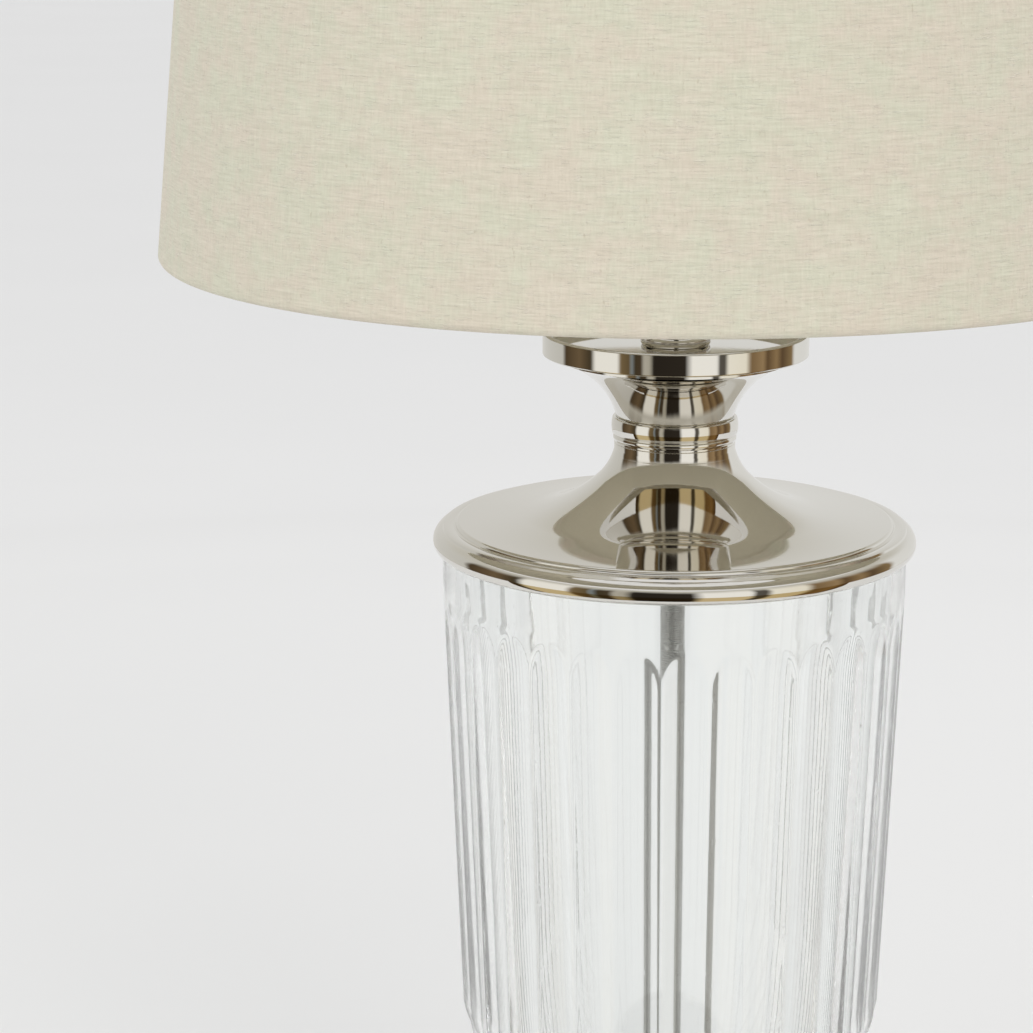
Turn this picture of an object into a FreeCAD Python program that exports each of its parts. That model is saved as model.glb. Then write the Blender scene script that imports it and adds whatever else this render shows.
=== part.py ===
import FreeCAD, Part
import math
import os
import Sketcher
from types import SimpleNamespace

# A table lamp: a fluted clear glass body held between two spun nickel pressings on one hollow
# threaded rod, a drip tray on a waisted neck, and a tapered linen shade hung on a harp.
# Millimetres, +Z up. The origin is the centre of the felt pad's underside.

V = FreeCAD.Vector

# ---------------------------------------------------------------- driving dimensions
SIZES = {
    # clearances
    "seat_gap": 0.05,             # pieces of one body that lie side by side
    "running_gap": 0.08,          # radial gap of anything that turns or slides on another piece
    # foot: felt, cast weight, spun shell
    "felt_thickness": 2.0,
    "felt_inset": 3.0,
    "skirt_radius": 98.0,
    "skirt_height": 12.0,
    "weight_gap": 2.0,
    "weight_plate": 8.0,
    "weight_ring_radius": 90.0,
    "weight_ring_width": 8.0,
    "weight_hub_radius": 26.0,
    "weight_hub_height": 16.0,
    "nut_recess_radius": 15.0,
    "nut_recess_depth": 9.0,
    "cord_channel_width": 9.0,
    "cord_channel_height": 10.2,
    "inlet_height": 6.3,
    "inlet_bore": 3.2,
    "bushing_wall": 0.9,
    "bushing_flange_radius": 5.4,
    "bushing_flange": 1.5,
    "bushing_length": 9.0,
    # spun pressing with a rolled rim: the glass's cap and the upper part of the foot
    "dish_radius": 95.3,
    "dish_height": 42.5,
    "dish_wall": 1.4,
    "bead_height": 8.6,
    "bead_inset": 3.7,
    "bead_lip": 1.0,
    "step_radius": 86.4,
    "disc_level": 11.2,
    "disc_rise": 2.4,
    "trumpet_radius": 61.0,
    "throat_bend_radius": 30.0,
    "throat_bend_level": 29.0,
    "throat_radius": 23.8,
    "throat_straight": 4.5,
    # collar rings
    "collar_radius": 24.9,
    "collar_height": 10.4,
    "collar_bead": 4.0,
    "collar_recess": 2.0,
    "collar_hollow_radius": 19.5,
    "collar_hollow_depth": 4.6,
    # flared neck and glass cup
    "flare_foot_radius": 23.0,
    "flare_waist_radius": 27.7,
    "flare_waist_level": 12.0,
    "flare_top_radius": 45.0,
    "flare_wall": 1.3,
    "neck_height": 26.6,
    "neck_lip": 1.6,
    "cup_level": 23.5,
    "cup_floor": 1.5,
    "cup_rim_radius": 47.6,
    "cup_rim_height": 30.0,
    # glass
    "gasket_thickness": 1.3,
    "glass_height": 268.0,
    "glass_foot_radius": 44.6,
    "glass_foot_height": 4.0,
    "glass_bowl_foot_radius": 47.0,
    "glass_shoulder_radius": 81.9,
    "glass_shoulder_level": 64.6,
    "glass_shoulder_step": 9.0,
    "glass_waist_radius": 84.6,
    "glass_top_radius": 91.6,
    "glass_band_height": 22.0,
    "glass_wall": 5.0,
    "glass_floor": 8.0,
    "glass_hole_radius": 8.0,
    "flute_count": 32,
    "flute_radius": 24.2,
    "flute_depth": 1.65,
    "flute_runout_radius": 74.0,
    "flute_overrun": 12.0,
    "flute_bowl_overrun": 5.0,
    # drip tray and ferrule
    "tray_radius": 52.0,
    "tray_height": 8.7,
    "tray_wall": 2.4,
    "tray_floor": 3.7,
    "ferrule_radius": 13.7,
    "ferrule_flange": 4.2,
    "ferrule_neck_radius": 9.5,
    "ferrule_height": 8.0,
    # hollow threaded rod, washer and nuts
    "rod_radius": 5.1,
    "rod_bore_radius": 3.4,
    "rod_hole_gap": 0.2,
    "rod_tail": 1.0,
    "rod_thread_in_socket": 8.0,
    "washer_radius": 13.0,
    "washer_thickness": 1.5,
    "nut_size": 8.5,
    "nut_height": 5.0,
    "lock_nut_height": 4.0,
    # harp and its saddle
    "saddle_span": 31.0,
    "saddle_width": 12.0,
    "saddle_strip": 2.0,
    "saddle_arm_height": 12.0,
    "saddle_post_radius": 2.4,
    "saddle_post_height": 8.0,
    "harp_wire_radius": 2.2,
    "harp_height": 234.0,
    "harp_half_width": 57.0,
    "harp_leg": 22.0,
    "harp_swing": 24.0,
    "harp_bend": 42.0,
    "harp_crown": 4.0,
    "sleeve_wall": 1.8,
    "sleeve_height": 16.0,
    "stud_radius": 3.1,
    "stud_height": 13.0,
    "stud_flange_radius": 7.0,
    "stud_flange": 2.0,
    # lampholder
    "holder_radius": 20.2,
    "holder_cap_height": 22.0,
    "holder_neck_radius": 8.0,
    "holder_neck_height": 5.0,
    "holder_wall": 0.6,
    "holder_shell_height": 46.0,
    "holder_overlap": 4.0,
    "insulator_wall": 0.9,
    "insulator_inset": 2.0,
    "insert_height": 10.0,
    "screw_shell_radius": 13.4,
    "screw_shell_wall": 0.5,
    "screw_shell_height": 27.5,
    "contact_radius": 4.5,
    "contact_height": 1.5,
    "terminal_radius": 2.5,
    "terminal_length": 3.4,
    "terminal_sink": 0.4,
    "switch_shaft_radius": 1.8,
    "switch_shaft_depth": 13.0,
    "switch_shaft_reach": 26.0,
    "switch_knob_radius": 5.5,
    "switch_knob_length": 12.0,
    "switch_knob_gap": 3.0,
    # bulb
    "bulb_cap_length": 21.0,
    "bulb_tip_gap": 0.3,
    "bulb_button_radius": 3.6,
    "bulb_button_height": 1.6,
    "bulb_insulator_height": 3.4,
    "bulb_neck_radius": 14.2,
    "bulb_radius": 30.0,
    "globe_wall": 0.8,
    "bulb_length": 107.0,
    # shade
    "shade_gap": 31.0,
    "shade_bottom_radius": 200.0,
    "shade_top_radius": 177.0,
    "shade_height": 254.0,
    "fabric_thickness": 0.9,
    "hem_depth": 11.0,
    "hem_fold": 1.95,
    "liner_thickness": 0.5,
    "liner_gap": 0.3,
    "ring_wire_radius": 1.2,
    "spider_arms": 3,
    "spider_wire_radius": 1.6,
    "spider_hub_radius": 13.0,
    "spider_hub_thickness": 2.0,
    "spider_slot_gap": 0.5,
    "spider_arm_root": 10.0,
    "spider_bend": 20.0,
    "shade_washer_radius": 9.0,
    "shade_washer_thickness": 1.0,
    # finial
    "finial_foot_radius": 7.0,
    "finial_foot_height": 2.5,
    "finial_neck_radius": 4.6,
    "finial_ball_radius": 8.5,
    "finial_height": 27.0,
    "finial_bore_depth": 9.0,
}

doc = FreeCAD.newDocument("table_lamp")
sheet = doc.addObject("Spreadsheet::Sheet", "Sizes")
for row, (alias, value) in enumerate(SIZES.items(), 1):
    sheet.set(f"A{row}", alias)
    sheet.set(f"B{row}", str(value))
    sheet.setAlias(f"B{row}", alias)
doc.recompute()


# ---------------------------------------------------------------- sizes that carry their formula
class Size:
    """A number in millimetres or degrees, together with the sheet formula that gives it."""

    def __init__(self, value, text=None):
        self.value = value
        self.text = repr(value) if text is None else text

    def __add__(self, other):
        other = as_size(other)
        return Size(self.value + other.value, f"({self.text} + {other.text})")

    def __sub__(self, other):
        other = as_size(other)
        return Size(self.value - other.value, f"({self.text} - {other.text})")

    def __mul__(self, other):
        other = as_size(other)
        return Size(self.value * other.value, f"({self.text} * {other.text})")

    def __truediv__(self, other):
        other = as_size(other)
        return Size(self.value / other.value, f"({self.text} / {other.text})")

    def __neg__(self):
        return Size(-self.value, f"(-{self.text})")

    def __radd__(self, other):
        return as_size(other) + self

    def __rsub__(self, other):
        return as_size(other) - self

    def __rmul__(self, other):
        return as_size(other) * self


def as_size(number):
    return number if isinstance(number, Size) else Size(number)


def root(area):
    return Size(math.sqrt(area.value), f"sqrt({area.text})")


def sine(angle):
    return Size(math.sin(math.radians(angle.value)), f"sin({angle.text})")


def cosine(angle):
    return Size(math.cos(math.radians(angle.value)), f"cos({angle.text})")


def slope_angle(rise, run):
    """The angle whose tangent is rise over run, in degrees."""
    ratio = rise / run
    return Size(math.degrees(math.atan(ratio.value)), f"atan({ratio.text})")


def sine_angle(ratio):
    """The angle whose sine is ratio, in degrees."""
    return Size(math.degrees(math.asin(ratio.value)), f"asin({ratio.text})")


s = SimpleNamespace(**{alias: Size(float(value), f"Sizes.{alias}") for alias, value in SIZES.items()})


# ---------------------------------------------------------------- outlines
def bow(x, z, bulge):
    """A corner that is reached along an arc; bulge is the arc's rise over half its chord, to the left."""
    return (x, z, bulge, None)


def via(x, z, middle):
    """A corner that is reached along an arc through the point middle."""
    return (x, z, None, middle)


def origin_feature(body, role):
    return [feature for feature in body.Origin.OriginFeatures if feature.Role == role][0]


def new_sketch(body, name, role, offset=None):
    """A sketch on one of the body's own origin planes, moved off it along its normal by offset."""
    sketch = body.newObject("Sketcher::SketchObject", name)
    sketch.AttachmentSupport = (origin_feature(body, role), [""])
    sketch.MapMode = "FlatFace"
    if offset is not None:
        sketch.setExpression("AttachmentOffset.Base.z", offset.text)
    return sketch


def pin_point(sketch, geometry, point, x, z):
    """Hold one point of the sketch at x, z, measured from the sketch's origin."""
    for distance, kind, axis in ((as_size(x), "DistanceX", -2), (as_size(z), "DistanceY", -1)):
        if distance.value == 0.0:
            sketch.addConstraint(Sketcher.Constraint("PointOnObject", geometry, point, axis))
            continue
        index = sketch.addConstraint(
            Sketcher.Constraint(kind, -1, 1, geometry, point, distance.value))
        sketch.setExpression(f"Constraints[{index}]", distance.text)


def draw(sketch, corners, closed=True):
    """Draw the edges that join the corners, each of the kind its end corner asks for.

    The first corner of a closed outline says how the last edge comes back to it. Every corner and
    every arc's middle is held by a formula.
    """
    corners = [corner if len(corner) == 4 else (corner[0], corner[1], None, None) for corner in corners]
    corners = [(as_size(x), as_size(z), bulge, middle) for x, z, bulge, middle in corners]
    count = len(corners) if closed else len(corners) - 1
    ends = []
    for i in range(count):
        x1, z1 = corners[i][:2]
        x2, z2, bulge, middle = corners[(i + 1) % len(corners)]
        start = V(x1.value, z1.value, 0)
        end = V(x2.value, z2.value, 0)
        if bulge is not None:
            middle = ((x1 + x2) / 2 - (z2 - z1) * (bulge / 2), (z1 + z2) / 2 + (x2 - x1) * (bulge / 2))
        if middle is None:
            edge = sketch.addGeometry(Part.LineSegment(start, end), False)
            ends.append((edge, 1, 2))
            continue
        crown = V(middle[0].value, middle[1].value, 0)
        edge = sketch.addGeometry(Part.Arc(start, crown, end), False)
        forward = sketch.getPoint(edge, 1).distanceToPoint(start) < start.distanceToPoint(end) / 2
        ends.append((edge, 1, 2) if forward else (edge, 2, 1))
        mark = sketch.addGeometry(Part.Point(crown), True)
        sketch.addConstraint(Sketcher.Constraint("PointOnObject", mark, 1, edge))
        pin_point(sketch, mark, 1, *middle)
    for i in range(count):
        edge, first, last = ends[i]
        pin_point(sketch, edge, first, *corners[i][:2])
        if closed or i + 1 < count:
            following, following_first = ends[(i + 1) % count][:2]
            sketch.addConstraint(Sketcher.Constraint("Coincident", edge, last, following, following_first))
    if not closed:
        edge, first, last = ends[-1]
        pin_point(sketch, edge, last, *corners[-1][:2])


def draw_circle(sketch, x, z, radius):
    circle = sketch.addGeometry(
        Part.Circle(V(as_size(x).value, as_size(z).value, 0), V(0, 0, 1), radius.value), False)
    pin_point(sketch, circle, 3, x, z)
    index = sketch.addConstraint(Sketcher.Constraint("Radius", circle, radius.value))
    sketch.setExpression(f"Constraints[{index}]", radius.text)


# ---------------------------------------------------------------- making sub-parts
subparts = []


def keep(item, name, level=None, x=None):
    """Name a finished sub-part and stand it at its level on the lamp's axis."""
    item.Label = name
    if level is not None:
        item.setExpression("Placement.Base.z", level.text)
    if x is not None:
        item.setExpression("Placement.Base.x", x.text)
    subparts.append(item)
    return item


def new_body(name, level=None, x=None):
    return keep(doc.addObject("PartDesign::Body", name), name, level, x)


def turn(body, name, corners, role="XZ_Plane"):
    """Turn an outline of radius and height into a ring or solid about the body's upright axis."""
    sketch = new_sketch(body, name + "_outline", role)
    draw(sketch, corners)
    feature = body.newObject("PartDesign::Revolution", name + "_turned")
    feature.Profile = sketch
    feature.ReferenceAxis = (sketch, ["V_Axis"])
    feature.Angle = 360
    return feature


def turned(name, corners, level, x=None):
    body = new_body(name, level, x)
    turn(body, name, corners)
    return body


def pad(body, name, role, offset, length, symmetric, drawing):
    """Pad an outline by length, both ways from its plane when symmetric."""
    sketch = new_sketch(body, name + "_outline", role, offset)
    drawing(sketch)
    feature = body.newObject("PartDesign::Pad", name + "_pad")
    feature.Profile = sketch
    feature.setExpression("Length", length.text)
    feature.SideType = "Symmetric" if symmetric else "One side"
    return feature


def pocket(body, name, role, offset, length, drawing, reverse=False, through=False):
    """Pocket an outline to a depth, or both ways through the whole body."""
    sketch = new_sketch(body, name + "_outline", role, offset)
    drawing(sketch)
    feature = body.newObject("PartDesign::Pocket", name + "_pocket")
    feature.Profile = sketch
    if through:
        feature.Type = "ThroughAll"
        feature.SideType = "Symmetric"
    else:
        feature.setExpression("Length", length.text)
        feature.Reversed = reverse
    return feature


def ring_about(body, features, count):
    """Repeat features round the body's upright axis."""
    pattern = body.newObject("PartDesign::PolarPattern", body.Name + "_ring")
    pattern.Originals = features
    pattern.Axis = (origin_feature(body, "Z_Axis"), [""])
    pattern.Angle = 360
    pattern.setExpression("Occurrences", count.text)
    body.Tip = pattern
    return pattern


def tube(name, outer, inner, height, level, x=None):
    """A plain ring: one cylinder less another."""
    blank = doc.addObject("Part::Cylinder", name + "_blank")
    blank.setExpression("Radius", outer.text)
    blank.setExpression("Height", height.text)
    bore = doc.addObject("Part::Cylinder", name + "_bore")
    bore.setExpression("Radius", inner.text)
    bore.setExpression("Height", height.text)
    ring = doc.addObject("Part::Cut", name)
    ring.Base = blank
    ring.Tool = bore
    return keep(ring, name, level, x)


def hexagon_nut(name, size, hole, height, level):
    blank = doc.addObject("Part::Prism", name + "_blank")
    blank.Polygon = 6
    blank.setExpression("Circumradius", size.text)
    blank.setExpression("Height", height.text)
    bore = doc.addObject("Part::Cylinder", name + "_bore")
    bore.setExpression("Radius", hole.text)
    bore.setExpression("Height", height.text)
    nut = doc.addObject("Part::Cut", name)
    nut.Base = blank
    nut.Tool = bore
    return keep(nut, name, level)


rod_hole = s.rod_radius + s.rod_hole_gap

# ---------------------------------------------------------------- levels up the lamp
shell_level = s.felt_thickness
foot_collar_level = shell_level + s.skirt_height + s.dish_height
glass_cup_level = foot_collar_level + s.collar_height - s.collar_recess
glass_level = glass_cup_level + s.cup_level + s.cup_floor + s.gasket_thickness
glass_top_level = glass_level + s.glass_height
ledge_under = s.bead_height - s.dish_wall
cap_level = glass_top_level + s.gasket_thickness - ledge_under
neck_collar_level = cap_level + s.dish_height
neck_level = neck_collar_level + s.collar_height - s.collar_recess
tray_level = neck_level + s.neck_height
floor_level = tray_level + s.tray_floor
saddle_level = floor_level + s.ferrule_height
lock_nut_level = saddle_level + s.saddle_strip
holder_level = lock_nut_level + s.lock_nut_height
harp_level = saddle_level + s.saddle_arm_height + s.saddle_post_height
stud_level = harp_level + s.harp_height + s.harp_wire_radius
shade_washer_level = stud_level + s.stud_flange
spider_level = shade_washer_level + s.shade_washer_thickness
finial_level = spider_level + s.spider_hub_thickness
shade_level = tray_level + s.tray_height + s.shade_gap


# ---------------------------------------------------------------- foot
felt = doc.addObject("Part::Cylinder", "felt_pad")
felt.setExpression("Radius", (s.skirt_radius - s.felt_inset).text)
felt.setExpression("Height", s.felt_thickness.text)
keep(felt, "felt_pad")

bead_top = s.dish_radius - s.bead_inset
bead_foot = s.dish_radius - s.bead_inset * 0.6
ledge_edge = s.glass_top_radius + 0.4


def dish_outside(base):
    """The pressing's outer side from its rolled rim up to the throat, above the level base."""
    return [
        (bead_foot, base),
        bow(s.dish_radius, base + s.bead_height * 0.46, -0.34),
        bow(bead_top, base + s.bead_height, -0.32),
        (bead_top - 0.4, base + s.bead_height + 0.8),
        bow(s.step_radius + 1.1, base + s.bead_height + 1.0, -0.10),
        bow(s.step_radius, base + s.bead_height + 1.3, 0.25),
        bow(s.step_radius - 1.5, base + s.disc_level, -0.36),
        bow(s.trumpet_radius, base + s.disc_level + s.disc_rise, 0.023),
        bow(s.throat_bend_radius, base + s.throat_bend_level, 0.16),
        bow(s.throat_radius + 0.6, base + s.dish_height - s.throat_straight, 0.114),
        bow(s.throat_radius, base + s.dish_height - s.throat_straight / 2, 0.06),
        (s.throat_radius, base + s.dish_height),
    ]


def dish_inside(base):
    """The pressing's inner side from the throat's web down to the ledge inside the rolled rim."""
    bend = s.dish_wall * 0.75
    web = base + s.dish_height - s.dish_wall
    throat = s.throat_radius - s.dish_wall
    return [
        (rod_hole, base + s.dish_height),
        (rod_hole, web),
        (throat, web),
        (throat + 0.6, base + s.dish_height - s.throat_straight),
        bow(s.throat_bend_radius - bend, base + s.throat_bend_level - bend, -0.114),
        bow(s.trumpet_radius - 0.3, base + s.disc_level + s.disc_rise - s.dish_wall, -0.16),
        bow(s.step_radius - 2.4, base + s.disc_level - s.dish_wall, -0.023),
        (s.step_radius - 1.4, base + ledge_under),
        (ledge_edge, base + ledge_under),
    ]


weight_radius = s.skirt_radius - s.dish_wall - s.weight_gap
weight_top = s.skirt_height + ledge_under
weight_ring_inner = s.weight_ring_radius - s.weight_ring_width
weight = new_body("base_weight", shell_level)
turn(weight, "weight_casting", [
    (s.nut_recess_radius, 0.0),
    (weight_radius, 0.0),
    (weight_radius, s.weight_plate),
    (s.weight_ring_radius, s.weight_plate),
    (s.weight_ring_radius, weight_top),
    (weight_ring_inner, weight_top),
    (weight_ring_inner, s.weight_plate),
    (s.weight_hub_radius, s.weight_plate),
    (s.weight_hub_radius, s.weight_hub_height),
    (rod_hole, s.weight_hub_height),
    (rod_hole, s.nut_recess_depth),
    (s.nut_recess_radius, s.nut_recess_depth),
])
channel_half = s.cord_channel_width / 2
channel_start = s.nut_recess_radius * 0.8
pocket(weight, "cord_channel", "XY_Plane", None, s.cord_channel_height, lambda sketch: draw(sketch, [
    (-channel_half, channel_start),
    (channel_half, channel_start),
    (channel_half, s.skirt_radius),
    (-channel_half, s.skirt_radius),
]), reverse=True)

# The foot's shell is the same rolled pressing on a straight skirt.
bushing_radius = s.inlet_bore + s.bushing_wall
skirt_inside = s.skirt_radius - s.dish_wall
foot_shell = new_body("foot_shell", shell_level)
turn(foot_shell, "foot_pressing", [
    (s.skirt_radius, 0.0),
    (s.skirt_radius, s.skirt_height - 0.8),
    bow(s.skirt_radius - 0.8, s.skirt_height, -0.41),
    *dish_outside(s.skirt_height),
    *dish_inside(s.skirt_height),
    (ledge_edge, s.skirt_height - s.dish_wall),
    (skirt_inside, s.skirt_height - s.dish_wall),
    (skirt_inside, 0.0),
])
pocket(foot_shell, "inlet_hole", "XZ_Plane", None, s.skirt_radius + s.weight_gap, lambda sketch: draw_circle(
    sketch, 0.0, s.inlet_height, bushing_radius + s.seat_gap))

# The cord's inlet: a bush through the back of the skirt, its axis along +Y.
bushing_neck = s.bushing_length - s.bushing_flange
bushing = turned("cord_bushing", [
    (s.inlet_bore, 0.0),
    (bushing_radius, 0.0),
    (bushing_radius, bushing_neck),
    (s.bushing_flange_radius, bushing_neck),
    (s.bushing_flange_radius, s.bushing_length - 0.6),
    bow(s.bushing_flange_radius - 0.6, s.bushing_length, -0.41),
    (s.inlet_bore, s.bushing_length),
], None)
bushing.Placement = FreeCAD.Placement(V(0, 0, 0), FreeCAD.Rotation(V(1, 0, 0), -90))
bushing.setExpression("Placement.Base.y", (s.skirt_radius + s.seat_gap - bushing_neck).text)
bushing.setExpression("Placement.Base.z", (shell_level + s.inlet_height).text)

nut_level = shell_level + s.nut_recess_depth - s.washer_thickness - s.nut_height
tube("base_washer", s.washer_radius, rod_hole, s.washer_thickness, nut_level + s.nut_height)
hexagon_nut("base_nut", s.nut_size, rod_hole, s.nut_height, nut_level)


# ---------------------------------------------------------------- collar rings
def collar(name, level):
    """A turned ring with a small bead and a rounded band; the piece above stands in its recess."""
    band = s.collar_radius - 0.35
    recess_radius = s.flare_foot_radius + s.rod_hole_gap
    recess_floor = s.collar_height - s.collar_recess
    return turned(name, [
        (s.throat_radius, 0.0),
        (s.throat_radius, 0.9),
        bow(s.throat_radius, s.collar_bead - 0.5, -0.35),
        (band, s.collar_bead),
        bow(band, s.collar_height - 0.8, -0.12),
        bow(band - 0.8, s.collar_height, -0.41),
        (recess_radius, s.collar_height),
        (recess_radius, recess_floor),
        (rod_hole, recess_floor),
        (rod_hole, s.collar_hollow_depth),
        (s.collar_hollow_radius, s.collar_hollow_depth),
        (s.collar_hollow_radius, 0.0),
    ], level)


def flare_outside(top_radius, top_level):
    """The outer side of a spun flare, from its foot in the collar up to its widest."""
    return [
        (rod_hole, 0.0),
        (s.flare_foot_radius, 0.0),
        (s.flare_foot_radius, 1.5),
        bow(s.flare_waist_radius, s.flare_waist_level, 0.105),
        bow(top_radius, top_level, 0.155),
    ]


def flare_inside():
    """The inner side of a spun flare, from its waist down to the web at its foot."""
    return [
        bow(s.flare_waist_radius - s.flare_wall * 0.9, s.flare_waist_level + s.flare_wall * 0.4, -0.15),
        bow(s.flare_foot_radius - s.flare_wall, s.flare_wall, -0.105),
        (rod_hole, s.flare_wall),
    ]


collar("foot_collar", foot_collar_level)

cup_floor_level = s.cup_level + s.cup_floor
cup_wall_inside = s.glass_foot_radius + s.rod_hole_gap
turned("glass_cup", [
    *flare_outside(s.flare_top_radius - 0.5, s.cup_level),
    bow(s.cup_rim_radius, s.cup_level + 2.4, -0.30),
    (s.cup_rim_radius, s.cup_rim_height - 0.8),
    bow(s.cup_rim_radius - 0.8, s.cup_rim_height, -0.41),
    (cup_wall_inside, s.cup_rim_height),
    (cup_wall_inside, cup_floor_level),
    (rod_hole, cup_floor_level),
    (rod_hole, s.cup_level),
    (s.flare_top_radius - 4.0, s.cup_level),
    *flare_inside(),
], glass_cup_level)
tube("lower_gasket", s.glass_foot_radius - 0.6, s.glass_hole_radius + 4.0, s.gasket_thickness,
     glass_cup_level + cup_floor_level)

# ---------------------------------------------------------------- glass
# Everything on the glass's outside is a straight or an arc in one upright plane, and every flute
# follows it: a tool of radius flute_radius runs flute_depth inside that outline.
waist_level = s.glass_shoulder_level + s.glass_shoulder_step
band_level = s.glass_height - s.glass_band_height
foot_corner = (s.glass_bowl_foot_radius, s.glass_foot_height)
shoulder = (s.glass_shoulder_radius, s.glass_shoulder_level)
bowl_bulge = 0.176
inside_top = s.glass_top_radius - s.glass_wall

glass = new_body("glass_body", glass_level)
turn(glass, "glass_blank", [
    (s.glass_hole_radius, 0.0),
    (s.glass_foot_radius, 0.0),
    (s.glass_foot_radius, s.glass_foot_height),
    foot_corner,
    bow(*shoulder, -bowl_bulge),
    bow(s.glass_waist_radius, waist_level, -0.08),
    (s.glass_top_radius, band_level),
    (s.glass_top_radius, s.glass_height),
    (inside_top, s.glass_height),
    (inside_top, band_level),
    (s.glass_waist_radius - s.glass_wall, waist_level),
    (s.glass_shoulder_radius - s.glass_wall, s.glass_shoulder_level),
    bow(s.glass_bowl_foot_radius - s.glass_wall * 1.8, s.glass_floor, bowl_bulge),
    (s.glass_hole_radius, s.glass_floor),
])
tool_offset = s.flute_radius - s.flute_depth
runout_turn = Size(35.0)


def along(point, direction, distance):
    return (point[0] + direction[0] * distance, point[1] + direction[1] * distance)


def runout(point, up, out):
    """The tool leaves the glass along an arc that bends outward from point."""
    centre = along(point, out, s.flute_runout_radius)

    def on_arc(angle):
        back = along(centre, out, -(s.flute_runout_radius * cosine(angle)))
        return along(back, up, s.flute_runout_radius * sine(angle))

    return via(*on_arc(runout_turn), on_arc(runout_turn / 2))


def flute(name, path):
    """Cut one flute: a round tool swept along its path."""
    spine = new_sketch(glass, name + "_path", "XZ_Plane")
    draw(spine, path, closed=False)
    tool = glass.newObject("Sketcher::SketchObject", name + "_tool")
    tool.AttachmentSupport = (spine, ["Edge1"])
    tool.MapMode = "NormalToEdge"
    tool.MapPathParameter = 0
    draw_circle(tool, 0.0, 0.0, s.flute_radius)
    doc.recompute()
    cut = glass.newObject("PartDesign::SubtractivePipe", name + "_cut")
    cut.Profile = tool
    cut.Spine = (spine, [f"Edge{i}" for i in range(1, len(path))])
    return cut


# long flutes, up the tapering side
side_rise = band_level - waist_level
side_run = s.glass_top_radius - s.glass_waist_radius
side_length = root(side_rise * side_rise + side_run * side_run)
side_up = (side_run / side_length, side_rise / side_length)
side_out = (side_up[1], -side_up[0])
arch_length = root((s.flute_runout_radius + s.flute_radius) * s.flute_depth * 2)
waist_point = along((s.glass_waist_radius, waist_level), side_out, tool_offset)
side_top = along(waist_point, side_up, side_length - arch_length)
side_flute = flute("side_flute", [
    along(waist_point, side_up, -s.flute_overrun),
    side_top,
    runout(side_top, side_up, side_out),
])

# short flutes, round the bowl below
chord = (shoulder[0] - foot_corner[0], shoulder[1] - foot_corner[1])
chord_length = root(chord[0] * chord[0] + chord[1] * chord[1])
bowl_rise = chord_length * (bowl_bulge / 2)
bowl_radius = (chord_length * chord_length / 4 + bowl_rise * bowl_rise) / (bowl_rise * 2)
bowl_out = (chord[1] / chord_length, -(chord[0] / chord_length))
bowl_middle = along(((shoulder[0] + foot_corner[0]) / 2, (shoulder[1] + foot_corner[1]) / 2), bowl_out, bowl_rise)
bowl_centre = along(bowl_middle, bowl_out, -bowl_radius)
bowl_scale = (bowl_radius + tool_offset) / bowl_radius


def off_bowl(point):
    """The tool's centre when it touches the bowl at point."""
    reach = (point[0] - bowl_centre[0], point[1] - bowl_centre[1])
    return (bowl_centre[0] + reach[0] * bowl_scale, bowl_centre[1] + reach[1] * bowl_scale)


shoulder_out = ((shoulder[0] - bowl_centre[0]) / bowl_radius, (shoulder[1] - bowl_centre[1]) / bowl_radius)
shoulder_up = (-shoulder_out[1], shoulder_out[0])
bowl_top = along(off_bowl(shoulder), shoulder_up, s.flute_bowl_overrun)
bowl_flute = flute("bowl_flute", [
    off_bowl(foot_corner),
    via(*off_bowl(shoulder), off_bowl(bowl_middle)),
    bowl_top,
    runout(bowl_top, shoulder_up, shoulder_out),
])
ring_about(glass, [side_flute, bowl_flute], s.flute_count)

tube("upper_gasket", s.glass_top_radius - s.rod_hole_gap, inside_top + s.rod_hole_gap, s.gasket_thickness, glass_top_level)

# ---------------------------------------------------------------- cap, neck and tray
turned("glass_cap", [
    *dish_outside(Size(0.0)),
    *dish_inside(Size(0.0)),
    bow(s.dish_radius - s.dish_wall, s.bead_height * 0.46, 0.30),
    bow(bead_foot - s.bead_lip, 0.0, 0.30),
], cap_level)
collar("neck_collar", neck_collar_level)
turned("neck_flare", [
    *flare_outside(s.flare_top_radius, s.neck_height - s.neck_lip - 0.6),
    (s.flare_top_radius, s.neck_height),
    (s.flare_top_radius - 1.8, s.neck_height),
    (s.flare_top_radius - 1.8, s.neck_height - s.neck_lip + 0.3),
    *flare_inside(),
], neck_level)

tray_inside = s.tray_radius - s.tray_wall
tray_recess = s.flare_top_radius - 5.0
turned("drip_tray", [
    (tray_recess, 0.0),
    (s.tray_radius - 0.6, 0.0),
    bow(s.tray_radius, 0.6, -0.41),
    (s.tray_radius, s.tray_height - 0.7),
    bow(s.tray_radius - 0.7, s.tray_height, -0.41),
    (tray_inside + 0.5, s.tray_height),
    bow(tray_inside, s.tray_height - 0.5, -0.41),
    (tray_inside, s.tray_floor + 2.4),
    bow(tray_inside - 2.4, s.tray_floor, 0.41),
    (rod_hole, s.tray_floor),
    (rod_hole, s.tray_floor / 2),
    (tray_recess, s.tray_floor / 2),
], tray_level)
turned("ferrule", [
    (rod_hole, 0.0),
    (s.ferrule_radius - 0.8, 0.0),
    bow(s.ferrule_radius, s.ferrule_flange * 0.5, -0.25),
    bow(s.ferrule_radius - 1.2, s.ferrule_flange, -0.30),
    (s.ferrule_neck_radius, s.ferrule_flange),
    (s.ferrule_neck_radius, s.ferrule_height),
    (rod_hole, s.ferrule_height),
], floor_level)

rod_bottom = nut_level - s.rod_tail
rod_top = holder_level + s.rod_thread_in_socket
tube("threaded_rod", s.rod_radius, s.rod_bore_radius, rod_top - rod_bottom, rod_bottom)

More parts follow.
